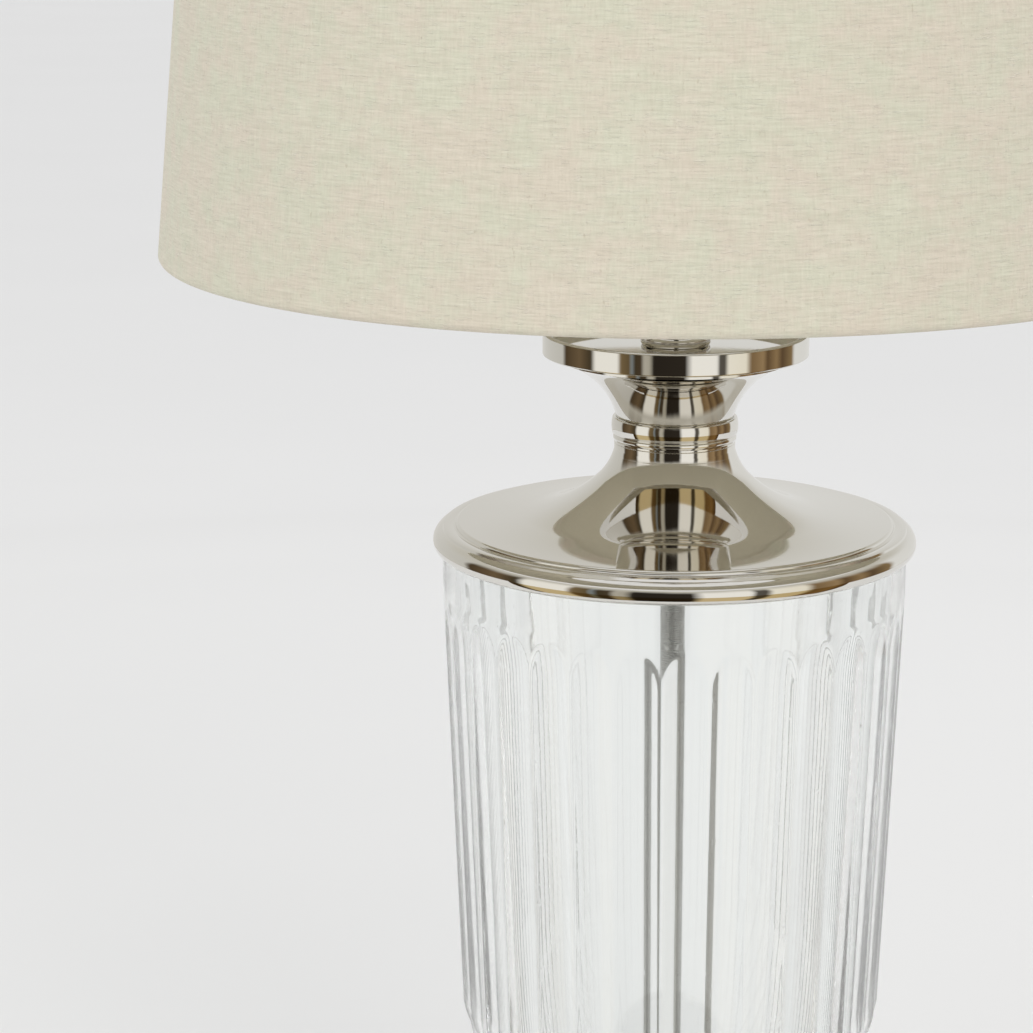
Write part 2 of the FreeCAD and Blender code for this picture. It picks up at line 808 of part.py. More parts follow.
# ---------------------------------------------------------------- harp
arm_outside = s.saddle_span + s.saddle_strip / 2
arm_inside = s.saddle_span - s.saddle_strip / 2
saddle = new_body("harp_saddle", saddle_level)
pad(saddle, "saddle_strip", "XZ_Plane", None, s.saddle_width, True, lambda sketch: draw(sketch, [
    bow(-(arm_outside - 3.0), 0.0, -0.41),
    (arm_outside - 3.0, 0.0),
    bow(arm_outside, 3.0, -0.41),
    (arm_outside, s.saddle_arm_height),
    (arm_inside, s.saddle_arm_height),
    (arm_inside, s.saddle_strip + 1.0),
    bow(arm_inside - 1.0, s.saddle_strip, 0.41),
    (-(arm_inside - 1.0), s.saddle_strip),
    bow(-arm_inside, s.saddle_strip + 1.0, 0.41),
    (-arm_inside, s.saddle_arm_height),
    (-arm_outside, s.saddle_arm_height),
    (-arm_outside, 3.0),
]))


def saddle_posts(sketch):
    for x in (s.saddle_span, -s.saddle_span):
        draw_circle(sketch, x, 0.0, s.saddle_post_radius)


pad(saddle, "saddle_posts", "XY_Plane", s.saddle_arm_height, s.saddle_post_height, False, saddle_posts)
pocket(saddle, "saddle_hole", "XY_Plane", None, None, lambda sketch: draw_circle(
    sketch, 0.0, 0.0, rod_hole), through=True)

hexagon_nut("lock_nut", s.nut_size, rod_hole, s.lock_nut_height, lock_nut_level)

# Each side of the harp leaves its socket upright, swings out, bends back and leans in to the crown.
swing_centre = (s.saddle_span + s.harp_swing, s.harp_leg)
back_centre_x = s.harp_half_width - s.harp_bend
reach = s.harp_swing + s.harp_bend
across = swing_centre[0] - back_centre_x
back_centre = (back_centre_x, s.harp_leg + root(reach * reach - across * across))
swing_angle = slope_angle(back_centre[1] - s.harp_leg, across)
crown_centre = (s.harp_crown, s.harp_height - s.harp_bend)
lean = slope_angle(back_centre[0] - crown_centre[0], crown_centre[1] - back_centre[1])
upright = Size(90.0, "90 deg")


def on_arc(centre, radius, angle):
    """The point of an arc at an angle above the level line through its centre."""
    return (centre[0] + radius * cosine(angle), centre[1] + radius * sine(angle))


def on_swing(angle):
    return (swing_centre[0] - s.harp_swing * cosine(angle), swing_centre[1] + s.harp_swing * sine(angle))


def mirrored(corner):
    return (-corner[0], corner[1])


swing_end = on_swing(swing_angle)
swing_middle = on_swing(swing_angle / 2)
back_end = on_arc(back_centre, s.harp_bend, lean)
back_middle = on_arc(back_centre, s.harp_bend, (lean - swing_angle) / 2)
crown_start = on_arc(crown_centre, s.harp_bend, lean)
crown_middle = on_arc(crown_centre, s.harp_bend, (lean + upright) / 2)

harp = new_body("harp", harp_level)
harp_path = new_sketch(harp, "harp_path", "XZ_Plane")
draw(harp_path, [
    (s.saddle_span, 0.0),
    (s.saddle_span, s.harp_leg),
    via(*swing_end, swing_middle),
    via(*back_end, back_middle),
    crown_start,
    via(s.harp_crown, s.harp_height, crown_middle),
    (-s.harp_crown, s.harp_height),
    via(*mirrored(crown_start), mirrored(crown_middle)),
    mirrored(back_end),
    via(*mirrored(swing_end), mirrored(back_middle)),
    via(-s.saddle_span, s.harp_leg, mirrored(swing_middle)),
    (-s.saddle_span, 0.0),
], closed=False)
harp_wire = new_sketch(harp, "harp_wire", "XY_Plane")
draw_circle(harp_wire, s.saddle_span, 0.0, s.harp_wire_radius)
harp_pipe = harp.newObject("PartDesign::AdditivePipe", "harp_bent")
harp_pipe.Profile = harp_wire
harp_pipe.Spine = (harp_path, [f"Edge{i}" for i in range(1, 12)])

sleeve_bore = s.saddle_post_radius + s.running_gap
sleeve_level = saddle_level + s.saddle_arm_height
for side, x in (("left", -s.saddle_span), ("right", s.saddle_span)):
    tube(f"harp_sleeve_{side}", sleeve_bore + s.sleeve_wall, sleeve_bore, s.sleeve_height, sleeve_level, x)

turned("harp_stud", [
    (0.0, 0.0),
    (s.stud_flange_radius, 0.0),
    (s.stud_flange_radius, s.stud_flange),
    (s.stud_radius, s.stud_flange),
    (s.stud_radius, s.stud_height),
    (0.0, s.stud_height),
], stud_level)

# ---------------------------------------------------------------- lampholder
bell_foot = s.holder_neck_height
bell_top = s.holder_cap_height - s.holder_overlap - s.insulator_inset
holder_inside = s.holder_radius - s.holder_wall
turned("holder_cap", [
    (rod_hole, 0.0),
    (s.holder_neck_radius, 0.0),
    (s.holder_neck_radius, bell_foot),
    bow(s.holder_radius, bell_top, -0.30),
    (s.holder_radius, s.holder_cap_height),
    (holder_inside, s.holder_cap_height),
    (holder_inside, bell_top),
    bow(s.holder_neck_radius, bell_foot + s.holder_wall * 2, 0.30),
    (rod_hole, bell_foot + s.holder_wall * 2),
], holder_level)

shell_outside = holder_inside - s.seat_gap
shell_inside = shell_outside - s.holder_wall
insulator_outside = shell_inside - s.seat_gap
insulator_inside = insulator_outside - s.insulator_wall
insert_radius = insulator_inside - s.seat_gap
holder_shell_level = holder_level + s.holder_cap_height - s.holder_overlap
insert_level = holder_shell_level + s.insulator_inset
insert_top = insert_level + s.insert_height
switch_level = insert_level + s.insert_height / 2
switch_hole = s.switch_shaft_radius + s.rod_hole_gap * 2


def sleeve_with_switch_hole(name, outer, inner, height, level):
    """A plain tube with a hole toward the front, where the switch's shaft comes out."""
    sleeve = turned(name, [(inner, 0.0), (outer, 0.0), (outer, height), (inner, height)], level)
    pocket(sleeve, name + "_hole", "XZ_Plane", None, s.holder_radius * 2, lambda sketch: draw_circle(
        sketch, 0.0, switch_level - level, switch_hole), reverse=True)


sleeve_with_switch_hole("holder_shell", shell_outside, shell_inside, s.holder_shell_height, holder_shell_level)
sleeve_with_switch_hole("holder_insulator", insulator_outside, insulator_inside,
                        s.holder_shell_height - s.insulator_inset * 2, insert_level)

insert = turned("holder_insert", [
    (0.0, 0.0),
    (insert_radius, 0.0),
    (insert_radius, s.insert_height),
    (0.0, s.insert_height),
], insert_level)
shaft_start = insert_radius - s.switch_shaft_depth
pocket(insert, "shaft_bore", "XZ_Plane", shaft_start, s.holder_radius, lambda sketch: draw_circle(
    sketch, 0.0, s.insert_height / 2, s.switch_shaft_radius + s.running_gap), reverse=True)
terminal_hole = s.terminal_radius + s.seat_gap
terminal_start = insert_radius - s.terminal_length - s.terminal_sink
for name, reverse in (("terminal_hole_right", True), ("terminal_hole_left", False)):
    start = terminal_start if reverse else -terminal_start
    pocket(insert, name, "YZ_Plane", start, s.holder_radius, lambda sketch: draw_circle(
        sketch, 0.0, s.insert_height / 2, terminal_hole), reverse=reverse)

terminals = []
for name, x in (("terminal_right", terminal_start), ("terminal_left", -(terminal_start + s.terminal_length))):
    screw = doc.addObject("Part::Cylinder", name)
    screw.setExpression("Radius", s.terminal_radius.text)
    screw.setExpression("Height", s.terminal_length.text)
    screw.Placement = FreeCAD.Placement(V(0, 0, 0), FreeCAD.Rotation(V(0, 1, 0), 90))
    screw.setExpression("Placement.Base.x", x.text)
    screw.setExpression("Placement.Base.z", switch_level.text)
    terminals.append(screw)
pair = doc.addObject("Part::Compound", "terminal_screws")
pair.Links = terminals
keep(pair, "terminal_screws")

screw_shell_outside = s.screw_shell_radius + s.screw_shell_wall
tube("screw_shell", screw_shell_outside, s.screw_shell_radius, s.screw_shell_height, insert_top)
turned("centre_contact", [
    (0.0, 0.0),
    (s.contact_radius, 0.0),
    (s.contact_radius, s.contact_height * 0.6),
    (s.contact_radius * 0.7, s.contact_height),
    (0.0, s.contact_height),
], insert_top)

shaft = doc.addObject("Part::Cylinder", "switch_shaft")
shaft.setExpression("Radius", s.switch_shaft_radius.text)
shaft.setExpression("Height", (s.switch_shaft_reach - shaft_start).text)
shaft.Placement = FreeCAD.Placement(V(0, 0, 0), FreeCAD.Rotation(V(1, 0, 0), 90))
shaft.setExpression("Placement.Base.y", (-shaft_start).text)
shaft.setExpression("Placement.Base.z", switch_level.text)
keep(shaft, "switch_shaft")

knob_start = s.holder_radius + s.switch_knob_gap
knob_bore = s.switch_shaft_radius + s.seat_gap
knob = new_body("switch_knob")
turn(knob, "knob_blank", [
    (knob_bore, 0.0),
    (s.switch_knob_radius * 0.7, 0.0),
    (s.switch_knob_radius * 0.7, s.switch_knob_length * 0.2),
    bow(s.switch_knob_radius, s.switch_knob_length * 0.3, -0.30),
    (s.switch_knob_radius * 0.9, s.switch_knob_length - 0.8),
    bow(s.switch_knob_radius * 0.9 - 0.8, s.switch_knob_length, -0.41),
    (0.0, s.switch_knob_length),
    (0.0, s.switch_shaft_reach - knob_start + s.seat_gap),
    (knob_bore, s.switch_shaft_reach - knob_start + s.seat_gap),
])
knob.Placement = FreeCAD.Placement(V(0, 0, 0), FreeCAD.Rotation(V(1, 0, 0), 90))
knob.setExpression("Placement.Base.y", (-knob_start).text)
knob.setExpression("Placement.Base.z", switch_level.text)

# ---------------------------------------------------------------- bulb
bulb_level = insert_top + s.contact_height + s.bulb_tip_gap
bulb_cap_radius = s.screw_shell_radius - s.running_gap
insulator_foot = s.bulb_button_height
cap_foot = insulator_foot + s.bulb_insulator_height
cap_top = cap_foot + s.bulb_cap_length
cap_wall = s.screw_shell_wall
cone_radius = bulb_cap_radius - 2.8
turned("bulb_contact", [
    (0.0, 0.0),
    (s.bulb_button_radius * 0.6, 0.0),
    (s.bulb_button_radius, s.bulb_button_height * 0.6),
    (s.bulb_button_radius, s.bulb_button_height),
    (0.0, s.bulb_button_height),
], bulb_level)
turned("bulb_insulator", [
    (0.0, insulator_foot),
    (s.bulb_button_radius, insulator_foot),
    (cone_radius, cap_foot),
    (0.0, cap_foot),
], bulb_level)
turned("bulb_screw_cap", [
    (0.0, cap_foot),
    (cone_radius, cap_foot),
    (bulb_cap_radius, cap_foot + 2.4),
    (bulb_cap_radius, cap_top),
    (bulb_cap_radius - cap_wall, cap_top),
    (bulb_cap_radius - cap_wall, cap_foot + 2.7),
    (cone_radius - 0.3, cap_foot + cap_wall),
    (0.0, cap_foot + cap_wall),
], bulb_level)

globe_level = s.bulb_length - s.bulb_radius
globe_inside = s.bulb_radius - s.globe_wall
neck_level_in_bulb = cap_top + 8.0
turned("bulb_globe", [
    (s.bulb_neck_radius - s.globe_wall, cap_top),
    (s.bulb_neck_radius - 0.4, cap_top),
    (s.bulb_neck_radius, neck_level_in_bulb),
    bow(s.bulb_radius * 0.8, globe_level - s.bulb_radius * 0.6, 0.13),
    via(0.0, s.bulb_length, (s.bulb_radius, globe_level)),
    (0.0, globe_level + globe_inside),
    via(globe_inside * 0.8, globe_level - globe_inside * 0.6, (globe_inside, globe_level)),
    bow(s.bulb_neck_radius - s.globe_wall, neck_level_in_bulb, -0.13),
], bulb_level)

# ---------------------------------------------------------------- shade
shade_taper = (s.shade_bottom_radius - s.shade_top_radius) / s.shade_height
fold_outside = s.hem_fold + s.fabric_thickness
hem_width = fold_outside * 2


def shade_radius(height):
    """The linen's outer radius at a height above the shade's lower edge."""
    return s.shade_bottom_radius - shade_taper * height


fold_low = fold_outside
fold_high = s.shade_height - fold_outside
hem_low = s.hem_depth
hem_high = s.shade_height - s.hem_depth
hem_inside = hem_width - s.fabric_thickness
fabric = new_body("shade_fabric", shade_level)
turn(fabric, "shade_linen", [
    bow(shade_radius(fold_low), fold_low, -1.0),
    (shade_radius(fold_high), fold_high),
    bow(shade_radius(fold_high) - hem_width, fold_high, -1.0),
    (shade_radius(hem_high) - hem_width, hem_high),
    (shade_radius(hem_high) - hem_inside, hem_high),
    (shade_radius(fold_high) - hem_inside, fold_high),
    bow(shade_radius(fold_high) - s.fabric_thickness, fold_high, 1.0),
    (shade_radius(fold_low) - s.fabric_thickness, fold_low),
    bow(shade_radius(fold_low) - hem_inside, fold_low, 1.0),
    (shade_radius(hem_low) - hem_inside, hem_low),
    (shade_radius(hem_low) - hem_width, hem_low),
    (shade_radius(fold_low) - hem_width, fold_low),
])

ring_low_radius = shade_radius(fold_low) - fold_outside
ring_high_radius = shade_radius(fold_high) - fold_outside
slot_top = fold_high + s.spider_wire_radius + s.spider_slot_gap
slot_bottom = hem_high - 1.0
slot_half = s.spider_wire_radius + s.spider_slot_gap * 2
slot_inside = ring_high_radius - fold_outside * 2
notch = pocket(fabric, "spider_notch", "XY_Plane", slot_bottom, slot_top - slot_bottom, lambda sketch: draw(sketch, [
    (-slot_half, slot_inside),
    (slot_half, slot_inside),
    (slot_half, ring_high_radius),
    (-slot_half, ring_high_radius),
]), reverse=True)
ring_about(fabric, [notch], s.spider_arms)

liner_low = fold_low + s.ring_wire_radius + s.liner_gap * 3
liner_high = s.shade_height - liner_low
liner_outside = s.fabric_thickness + s.liner_gap
liner_inside = liner_outside + s.liner_thickness
turned("shade_liner", [
    (shade_radius(liner_low) - liner_inside, liner_low),
    (shade_radius(liner_low) - liner_outside, liner_low),
    (shade_radius(liner_high) - liner_outside, liner_high),
    (shade_radius(liner_high) - liner_inside, liner_high),
], shade_level)

for name, radius, level in (("bottom_ring", ring_low_radius, fold_low), ("top_ring", ring_high_radius, fold_high)):
    ring = doc.addObject("Part::Torus", name)
    ring.setExpression("Radius1", radius.text)
    ring.setExpression("Radius2", s.ring_wire_radius.text)
    keep(ring, name, shade_level + level)

# The spider: a drilled disc that sits on the harp, and arms that rise to the top ring.
arm_end = ring_high_radius - s.ring_wire_radius - s.seat_gap
arm_root_level = s.spider_hub_thickness / 2
arm_end_level = shade_level + fold_high - spider_level
arm_rise = arm_end_level - arm_root_level
arm_run = arm_end - s.spider_hub_radius
bend_above_end = s.spider_bend - arm_rise
bend_to_end = root(arm_run * arm_run + bend_above_end * bend_above_end)
arm_slope = sine_angle(s.spider_bend / bend_to_end) - slope_angle(bend_above_end, arm_run)


def on_bend(angle):
    return (s.spider_hub_radius + s.spider_bend * sine(angle),
            arm_root_level + s.spider_bend - s.spider_bend * cosine(angle))


spider = new_body("spider", spider_level)
turn(spider, "spider_hub", [
    (s.stud_radius + s.running_gap, 0.0),
    (s.spider_hub_radius, 0.0),
    (s.spider_hub_radius, s.spider_hub_thickness),
    (s.stud_radius + s.running_gap, s.spider_hub_thickness),
])
arm_path = new_sketch(spider, "arm_path", "YZ_Plane")
draw(arm_path, [
    (s.spider_arm_root, arm_root_level),
    (s.spider_hub_radius, arm_root_level),
    via(*on_bend(arm_slope), on_bend(arm_slope / 2)),
    (arm_end, arm_end_level),
], closed=False)
arm_wire = new_sketch(spider, "arm_wire", "XZ_Plane", -s.spider_arm_root)
draw_circle(arm_wire, 0.0, arm_root_level, s.spider_wire_radius)
arm = spider.newObject("PartDesign::AdditivePipe", "spider_arm")
arm.Profile = arm_wire
arm.Spine = (arm_path, ["Edge1", "Edge2", "Edge3"])
ring_about(spider, [arm], s.spider_arms)

tube("shade_washer", s.shade_washer_radius, s.stud_radius + s.running_gap, s.shade_washer_thickness,
     shade_washer_level)

# ---------------------------------------------------------------- finial
ball_level = s.finial_height - s.finial_ball_radius
finial_bore = s.stud_radius + s.running_gap
turned("finial", [
    (finial_bore, 0.0),
    (s.finial_foot_radius, 0.0),
    (s.finial_foot_radius, s.finial_foot_height),
    bow(s.finial_neck_radius, s.finial_foot_height + 4.5, 0.30),
    bow(s.finial_ball_radius * 0.6, ball_level - s.finial_ball_radius * 0.8, 0.10),
    via(0.0, s.finial_height, (s.finial_ball_radius * 0.8, ball_level + s.finial_ball_radius * 0.6)),
    (0.0, s.finial_bore_depth),
    (finial_bore, s.finial_bore_depth),
], finial_level)

# ---------------------------------------------------------------- checks and files
doc.recompute()
for item in doc.Objects:
    faults = {"Invalid", "Error"} & set(item.State)
    if faults:
        raise RuntimeError(f"{item.Label} did not compute: {sorted(faults)}")
for item in doc.Objects:
    if item.TypeId in ("PartDesign::Pocket", "PartDesign::SubtractivePipe"):
        removed = item.BaseFeature.Shape.Volume - item.Shape.Volume
        if removed < 1.0:
            raise RuntimeError(f"{item.Label} cuts nothing")
        print(f"{item.Label} removes {removed:.1f} cubic mm")
for item in subparts:
    if item.Shape.isNull() or not item.Shape.isValid() or not item.Shape.Solids:
        raise RuntimeError(f"{item.Label} has no sound solid")

os.makedirs("parts", exist_ok=True)
for item in subparts:
    item.Shape.exportStep(f"parts/{item.Label}.step")
print(f"{len(subparts)} sub-parts written")
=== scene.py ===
# %% [markdown]
# # A fluted glass table lamp
# The lamp stands on a weighted foot. One hollow threaded rod runs from the foot to the lampholder
# and clamps everything between them: a cup, the glass, a cap, a neck and a tray. The shade hangs
# from a harp above. The construction's solids are loaded first, and each piece below is turned
# or pressed again in finer detail, exactly where its solid stands.

# %% Load the construction
import math

import bpy
import numpy as np
from mathutils import Matrix, Vector


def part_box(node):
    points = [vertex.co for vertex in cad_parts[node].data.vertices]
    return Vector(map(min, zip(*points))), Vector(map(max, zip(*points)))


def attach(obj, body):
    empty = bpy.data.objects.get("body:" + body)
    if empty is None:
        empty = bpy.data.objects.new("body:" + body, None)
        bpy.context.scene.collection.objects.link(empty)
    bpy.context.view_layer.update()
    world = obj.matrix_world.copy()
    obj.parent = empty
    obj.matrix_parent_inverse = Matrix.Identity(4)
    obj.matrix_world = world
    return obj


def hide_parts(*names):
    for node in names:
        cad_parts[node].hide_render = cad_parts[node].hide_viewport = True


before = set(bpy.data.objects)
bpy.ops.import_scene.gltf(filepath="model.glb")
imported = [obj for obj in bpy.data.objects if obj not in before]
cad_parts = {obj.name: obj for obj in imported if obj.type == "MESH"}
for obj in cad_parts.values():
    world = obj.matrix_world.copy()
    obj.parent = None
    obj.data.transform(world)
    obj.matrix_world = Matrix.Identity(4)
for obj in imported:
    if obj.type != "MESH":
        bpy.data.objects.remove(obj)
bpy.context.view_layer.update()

# %% [markdown]
# Every size below is in millimetres, as a metal spinner would write it. Each piece starts at the
# level where its solid starts, so the pieces follow the construction if it changes.

# %% Levels
MM = 0.001


def level(node):
    """The height of a solid's lowest point, in millimetres."""
    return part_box(node)[0].z / MM


tray_level = level("drip_tray")
print("tray at", round(tray_level, 2), "mm")

# %% [markdown]
# ## Camera
# The picture was taken a little above the tray, looking down by about 13 degrees. The lens follows
# from how much the rims open: the tray's rim, the cap's rim and the shade's edge are circles, and
# each ellipse that they make tells how far away and how high the camera was.

# %% Camera
PICTURE = 1033
SENSOR = 36.0
camera = bpy.data.objects.new("camera", bpy.data.cameras.new("camera"))
bpy.context.scene.collection.objects.link(camera)
bpy.context.scene.camera = camera
camera.data.sensor_width = SENSOR
camera.data.lens = 3077.8 / PICTURE * SENSOR
look_down = 0.2296
lean = math.radians(-0.124)
camera.matrix_world = (
    Matrix.Translation((-0.06227, -1.1855, tray_level * MM + 0.2117))
    @ Matrix.Rotation(math.pi / 2 - look_down, 4, "X")
    @ Matrix.Rotation(lean, 4, "Z")
)
print("lens", round(camera.data.lens, 1), "mm")

# %% [markdown]
# ## Shader helpers
# A procedural finish is a little sum: a base colour plus some noise, less some wear. Written with
# nodes, every plus is three lines. `Wire` wraps a socket so that a plain expression adds the Math
# nodes, and `Finish.add` makes any other node: its settings go in first, then its inputs.


# %% Wires and finishes
class Wire:
    """A number on its way through a finish."""

    def __init__(self, finish, socket):
        self.finish = finish
        self.socket = socket

    def _sum(self, operation, first, second):
        return self.finish.add("ShaderNodeMath", {"operation": operation}, {0: first, 1: second})

    def __add__(self, other):
        return self._sum("ADD", self, other)

    def __radd__(self, other):
        return self._sum("ADD", other, self)

    def __sub__(self, other):
        return self._sum("SUBTRACT", self, other)

    def __rsub__(self, other):
        return self._sum("SUBTRACT", other, self)

    def __mul__(self, other):
        return self._sum("MULTIPLY", self, other)

    def __rmul__(self, other):
        return self._sum("MULTIPLY", other, self)

    def __pow__(self, other):
        return self._sum("POWER", self, other)


class Finish:
    """One material: a Principled shader and the nodes that feed it."""

    def __init__(self, name, slot, **constants):
        self.slot = slot
        self.material = bpy.data.materials.new(name)
        self.material.use_nodes = True
        self.nodes = self.material.node_tree.nodes
        self.links = self.material.node_tree.links
        self.shader = self.nodes["Principled BSDF"]
        for socket, value in constants.items():
            self.shader.inputs[socket.replace("_", " ")].default_value = value

    def add(self, kind, settings=None, inputs=None, output=0):
        """Add a node: its settings first, then the values or wires of its sockets."""
        node = self.nodes.new(kind)
        for key, value in (settings or {}).items():
            if key == "stops":
                self._ramp(node.color_ramp, value)
            else:
                setattr(node, key, value)
        for key, value in (inputs or {}).items():
            self.join(value, node.inputs[key])
        return Wire(self, node.outputs[output])

    def _ramp(self, ramp, stops):
        while len(ramp.elements) < len(stops):
            ramp.elements.new(0.5)
        for element, (place, colour) in zip(ramp.elements, stops):
            element.position = place
            grey = not hasattr(colour, "__len__")
            element.color = (colour,) * 3 + (1.0,) if grey else (*colour, 1.0)

    def join(self, value, socket):
        if isinstance(value, Wire):
            self.links.new(value.socket, socket)
        else:
            socket.default_value = value

    def feed(self, **sockets):
        for name, value in sockets.items():
            self.join(value, self.shader.inputs[name.replace("_", " ")])
        return self

    def place(self, scale=(1.0, 1.0, 1.0)):
        """The point on the object in metres, stretched by scale."""
        point = self.add("ShaderNodeTexCoord", output="Object")
        return self.add("ShaderNodeVectorMath", {"operation": "MULTIPLY"}, {0: point, 1: scale})

    def split(self):
        """The point's x, y and z as three wires."""
        node = self.add("ShaderNodeSeparateXYZ", None, {0: self.place()}).socket.node
        return [Wire(self, node.outputs[axis]) for axis in "XYZ"]

    def noise(self, scale, detail=2.0, roughness=0.5):
        """Noise from 0 to 1 whose grain is stretched by scale."""
        inputs = {"Vector": self.place(scale), "Scale": 1.0, "Detail": detail, "Roughness": roughness}
        return self.add("ShaderNodeTexNoise", {"noise_dimensions": "3D"}, inputs)

    def ramp(self, wire, stops):
        return self.add("ShaderNodeValToRGB", {"stops": stops}, {"Fac": wire})

    def mix(self, factor, first, second, blend="MIX"):
        """Mix two colours."""
        return self.add("ShaderNodeMix", {"data_type": "RGBA", "blend_type": blend},
                        {"Factor": factor, 6: first, 7: second}, output=2)

    def bump(self, height, distance, strength=1.0):
        return self.add("ShaderNodeBump", None,
                        {"Height": height, "Distance": distance, "Strength": strength})


print("finish helper ready")

# %% [markdown]
# ## Polished nickel
# Nickel is a warm grey metal. Here it is plated on spun brass and buffed until it mirrors the room,
# so its look is nearly all reflection: a metallic shader, very smooth, with the faint rings that a
# buffing wheel leaves and a slightly duller tone where cleaning has not reached.

# %% Nickel
LINES_PER_METRE = 2600                         # the marks of the buffing wheel


def nickel_finish(name, tint, roughness):
    finish = Finish(name, "nickel", Metallic=1.0)
    x, y, z = finish.split()
    radius = (x * x + y * y) ** 0.5
    ring = finish.add("ShaderNodeCombineXYZ", None,
                      {"X": radius * LINES_PER_METRE, "Y": z * LINES_PER_METRE, "Z": 0.0})
    lines = finish.add("ShaderNodeTexNoise", {"noise_dimensions": "2D"},
                       {"Vector": ring, "Scale": 1.0, "Detail": 2.0})
    haze = finish.noise((14, 14, 14), detail=3.0)
    colour = finish.mix(haze, tint, tuple(c * 0.965 for c in tint[:3]) + (1.0,))
    return finish.feed(Base_Color=colour, Roughness=roughness + 0.03 * haze + 0.01 * lines,
                       Normal=finish.bump(lines, 0.0000012))


nickel = nickel_finish("polished_nickel", (0.78, 0.762, 0.722, 1.0), 0.015)
nickel_worn = nickel_finish("nickel_small_parts", (0.76, 0.735, 0.69, 1.0), 0.08)
print("nickel:", len(nickel.nodes), "nodes")

# %% [markdown]
# ## Clear pressed glass
# The glass is pressed in a mould and fire polished, so its skin is smooth but never quite flat:
# light bends a little more here and less there. A faint slow bump gives that. A few fine seeds,
# which are tiny bubbles, stay in any pressed glass. Light that enters such a body bounces about in
# it far longer than a renderer follows, so the glass gets a faint painted glow: a weak emission
# that stands in for that light.

# %% Glass
# The weak emission and its colour are a painted glow for light held in the glass, not a lamp.
glass = Finish("clear_pressed_glass", "clear_glass", Transmission_Weight=1.0, IOR=1.46, Alpha=0.9,
               Emission_Strength=0.013)
ripple = glass.noise((55, 55, 18), detail=2.0)
seeds = glass.ramp(glass.noise((420, 420, 260), detail=0.0), [(0.0, 0.0), (0.79, 0.0), (0.83, 1.0)])
glass.feed(
    Base_Color=glass.mix(ripple, (0.985, 0.995, 0.99, 1.0), (0.97, 0.985, 0.98, 1.0)),
    Emission_Color=glass.mix(ripple, (1.0, 1.0, 0.97, 1.0), (0.95, 0.97, 0.93, 1.0)),
    Roughness=0.004 * ripple,
    Normal=glass.bump(ripple + 0.15 * seeds, 0.0005, 0.25),
)

# %% [markdown]
# ## Linen
# The shade is covered in undyed linen. Its threads are uneven: each one runs round the shade or up
# it, thickens into slubs and changes tone along its length. Noise that is stretched along a thread
# does that, and needs no seam: round the shade the grain is long in x and y and short in z, and up
# the shade it is the other way about. Patches of cloth lean faintly to green or to pink.


# %% Linen
def linen_finish(name, light, dark):
    finish = Finish(name, "linen", Roughness=0.9, Sheen_Weight=0.12, Sheen_Roughness=0.6)
    round_threads = finish.noise((90, 90, 1600), detail=3.0, roughness=0.6)
    up_threads = finish.noise((1250, 1250, 120), detail=3.0)
    slubs = finish.ramp(finish.noise((230, 230, 1250), detail=3.0),
                        [(0.0, 0.0), (0.58, 0.0), (0.72, 1.0)])
    flecks = finish.ramp(finish.noise((900, 900, 420), detail=2.0),
                         [(0.0, 0.0), (0.66, 0.0), (0.78, 1.0)])
    cloth = finish.noise((60, 60, 60), detail=4.0, roughness=0.65)
    weave = round_threads * 0.65 + up_threads * 0.35
    colour = finish.mix(weave, dark, light)
    colour = finish.mix(slubs * 0.30, colour, (0.80, 0.76, 0.67, 1.0))
    colour = finish.mix(flecks * 0.42, colour, (0.42, 0.345, 0.25, 1.0))
    colour = finish.mix(cloth * 0.20, colour, (0.57, 0.57, 0.45, 1.0))
    shades = finish.ramp(cloth, [(0.38, (0.95, 1.0, 0.965)), (0.62, (1.0, 0.965, 0.965))])
    colour = finish.mix(1.0, colour, shades, "MULTIPLY")
    relief = finish.bump(weave + slubs * 0.7, 0.00025, 0.9)
    return finish.feed(Base_Color=colour, Normal=relief)


linen = linen_finish("natural_linen", (0.83, 0.775, 0.66, 1.0), (0.44, 0.40, 0.31, 1.0))

# The lining's tone is partly its own and partly painted shade, darkened to match the shaded inside of the shade.
lining = Finish("shade_lining", "shade_lining", Roughness=0.55)
grain = lining.noise((260, 260, 260), detail=3.0)
lining.feed(Base_Color=lining.mix(grain, (0.66, 0.62, 0.50, 1.0), (0.58, 0.54, 0.43, 1.0)),
            Normal=lining.bump(grain, 0.00005, 0.5))

# %% [markdown]
# ## The plain finishes
# The parts that hold the lamp together are zinc plated steel, cast iron, felt, black plastic,
# pressed fibre and brass. Each is one base tone that noise lightens and darkens at the scale of the
# real grain, with a bump of the same grain.


# %% Plain finishes
def grained(name, slot, dark, light, scale, roughness, spread, depth, metallic=0.0, **constants):
    """A finish whose grain is one noise: it tints, dulls and roughens the surface together."""
    finish = Finish(name, slot, Metallic=metallic, **constants)
    grain = finish.noise(scale, detail=4.0, roughness=0.6)
    blotch = finish.noise((30, 30, 30), detail=2.0)
    tone = grain * 0.7 + blotch * 0.3
    return finish.feed(Base_Color=finish.mix(tone, dark + (1.0,), light + (1.0,)),
                       Roughness=roughness + spread * grain, Normal=finish.bump(grain, depth, 0.6))


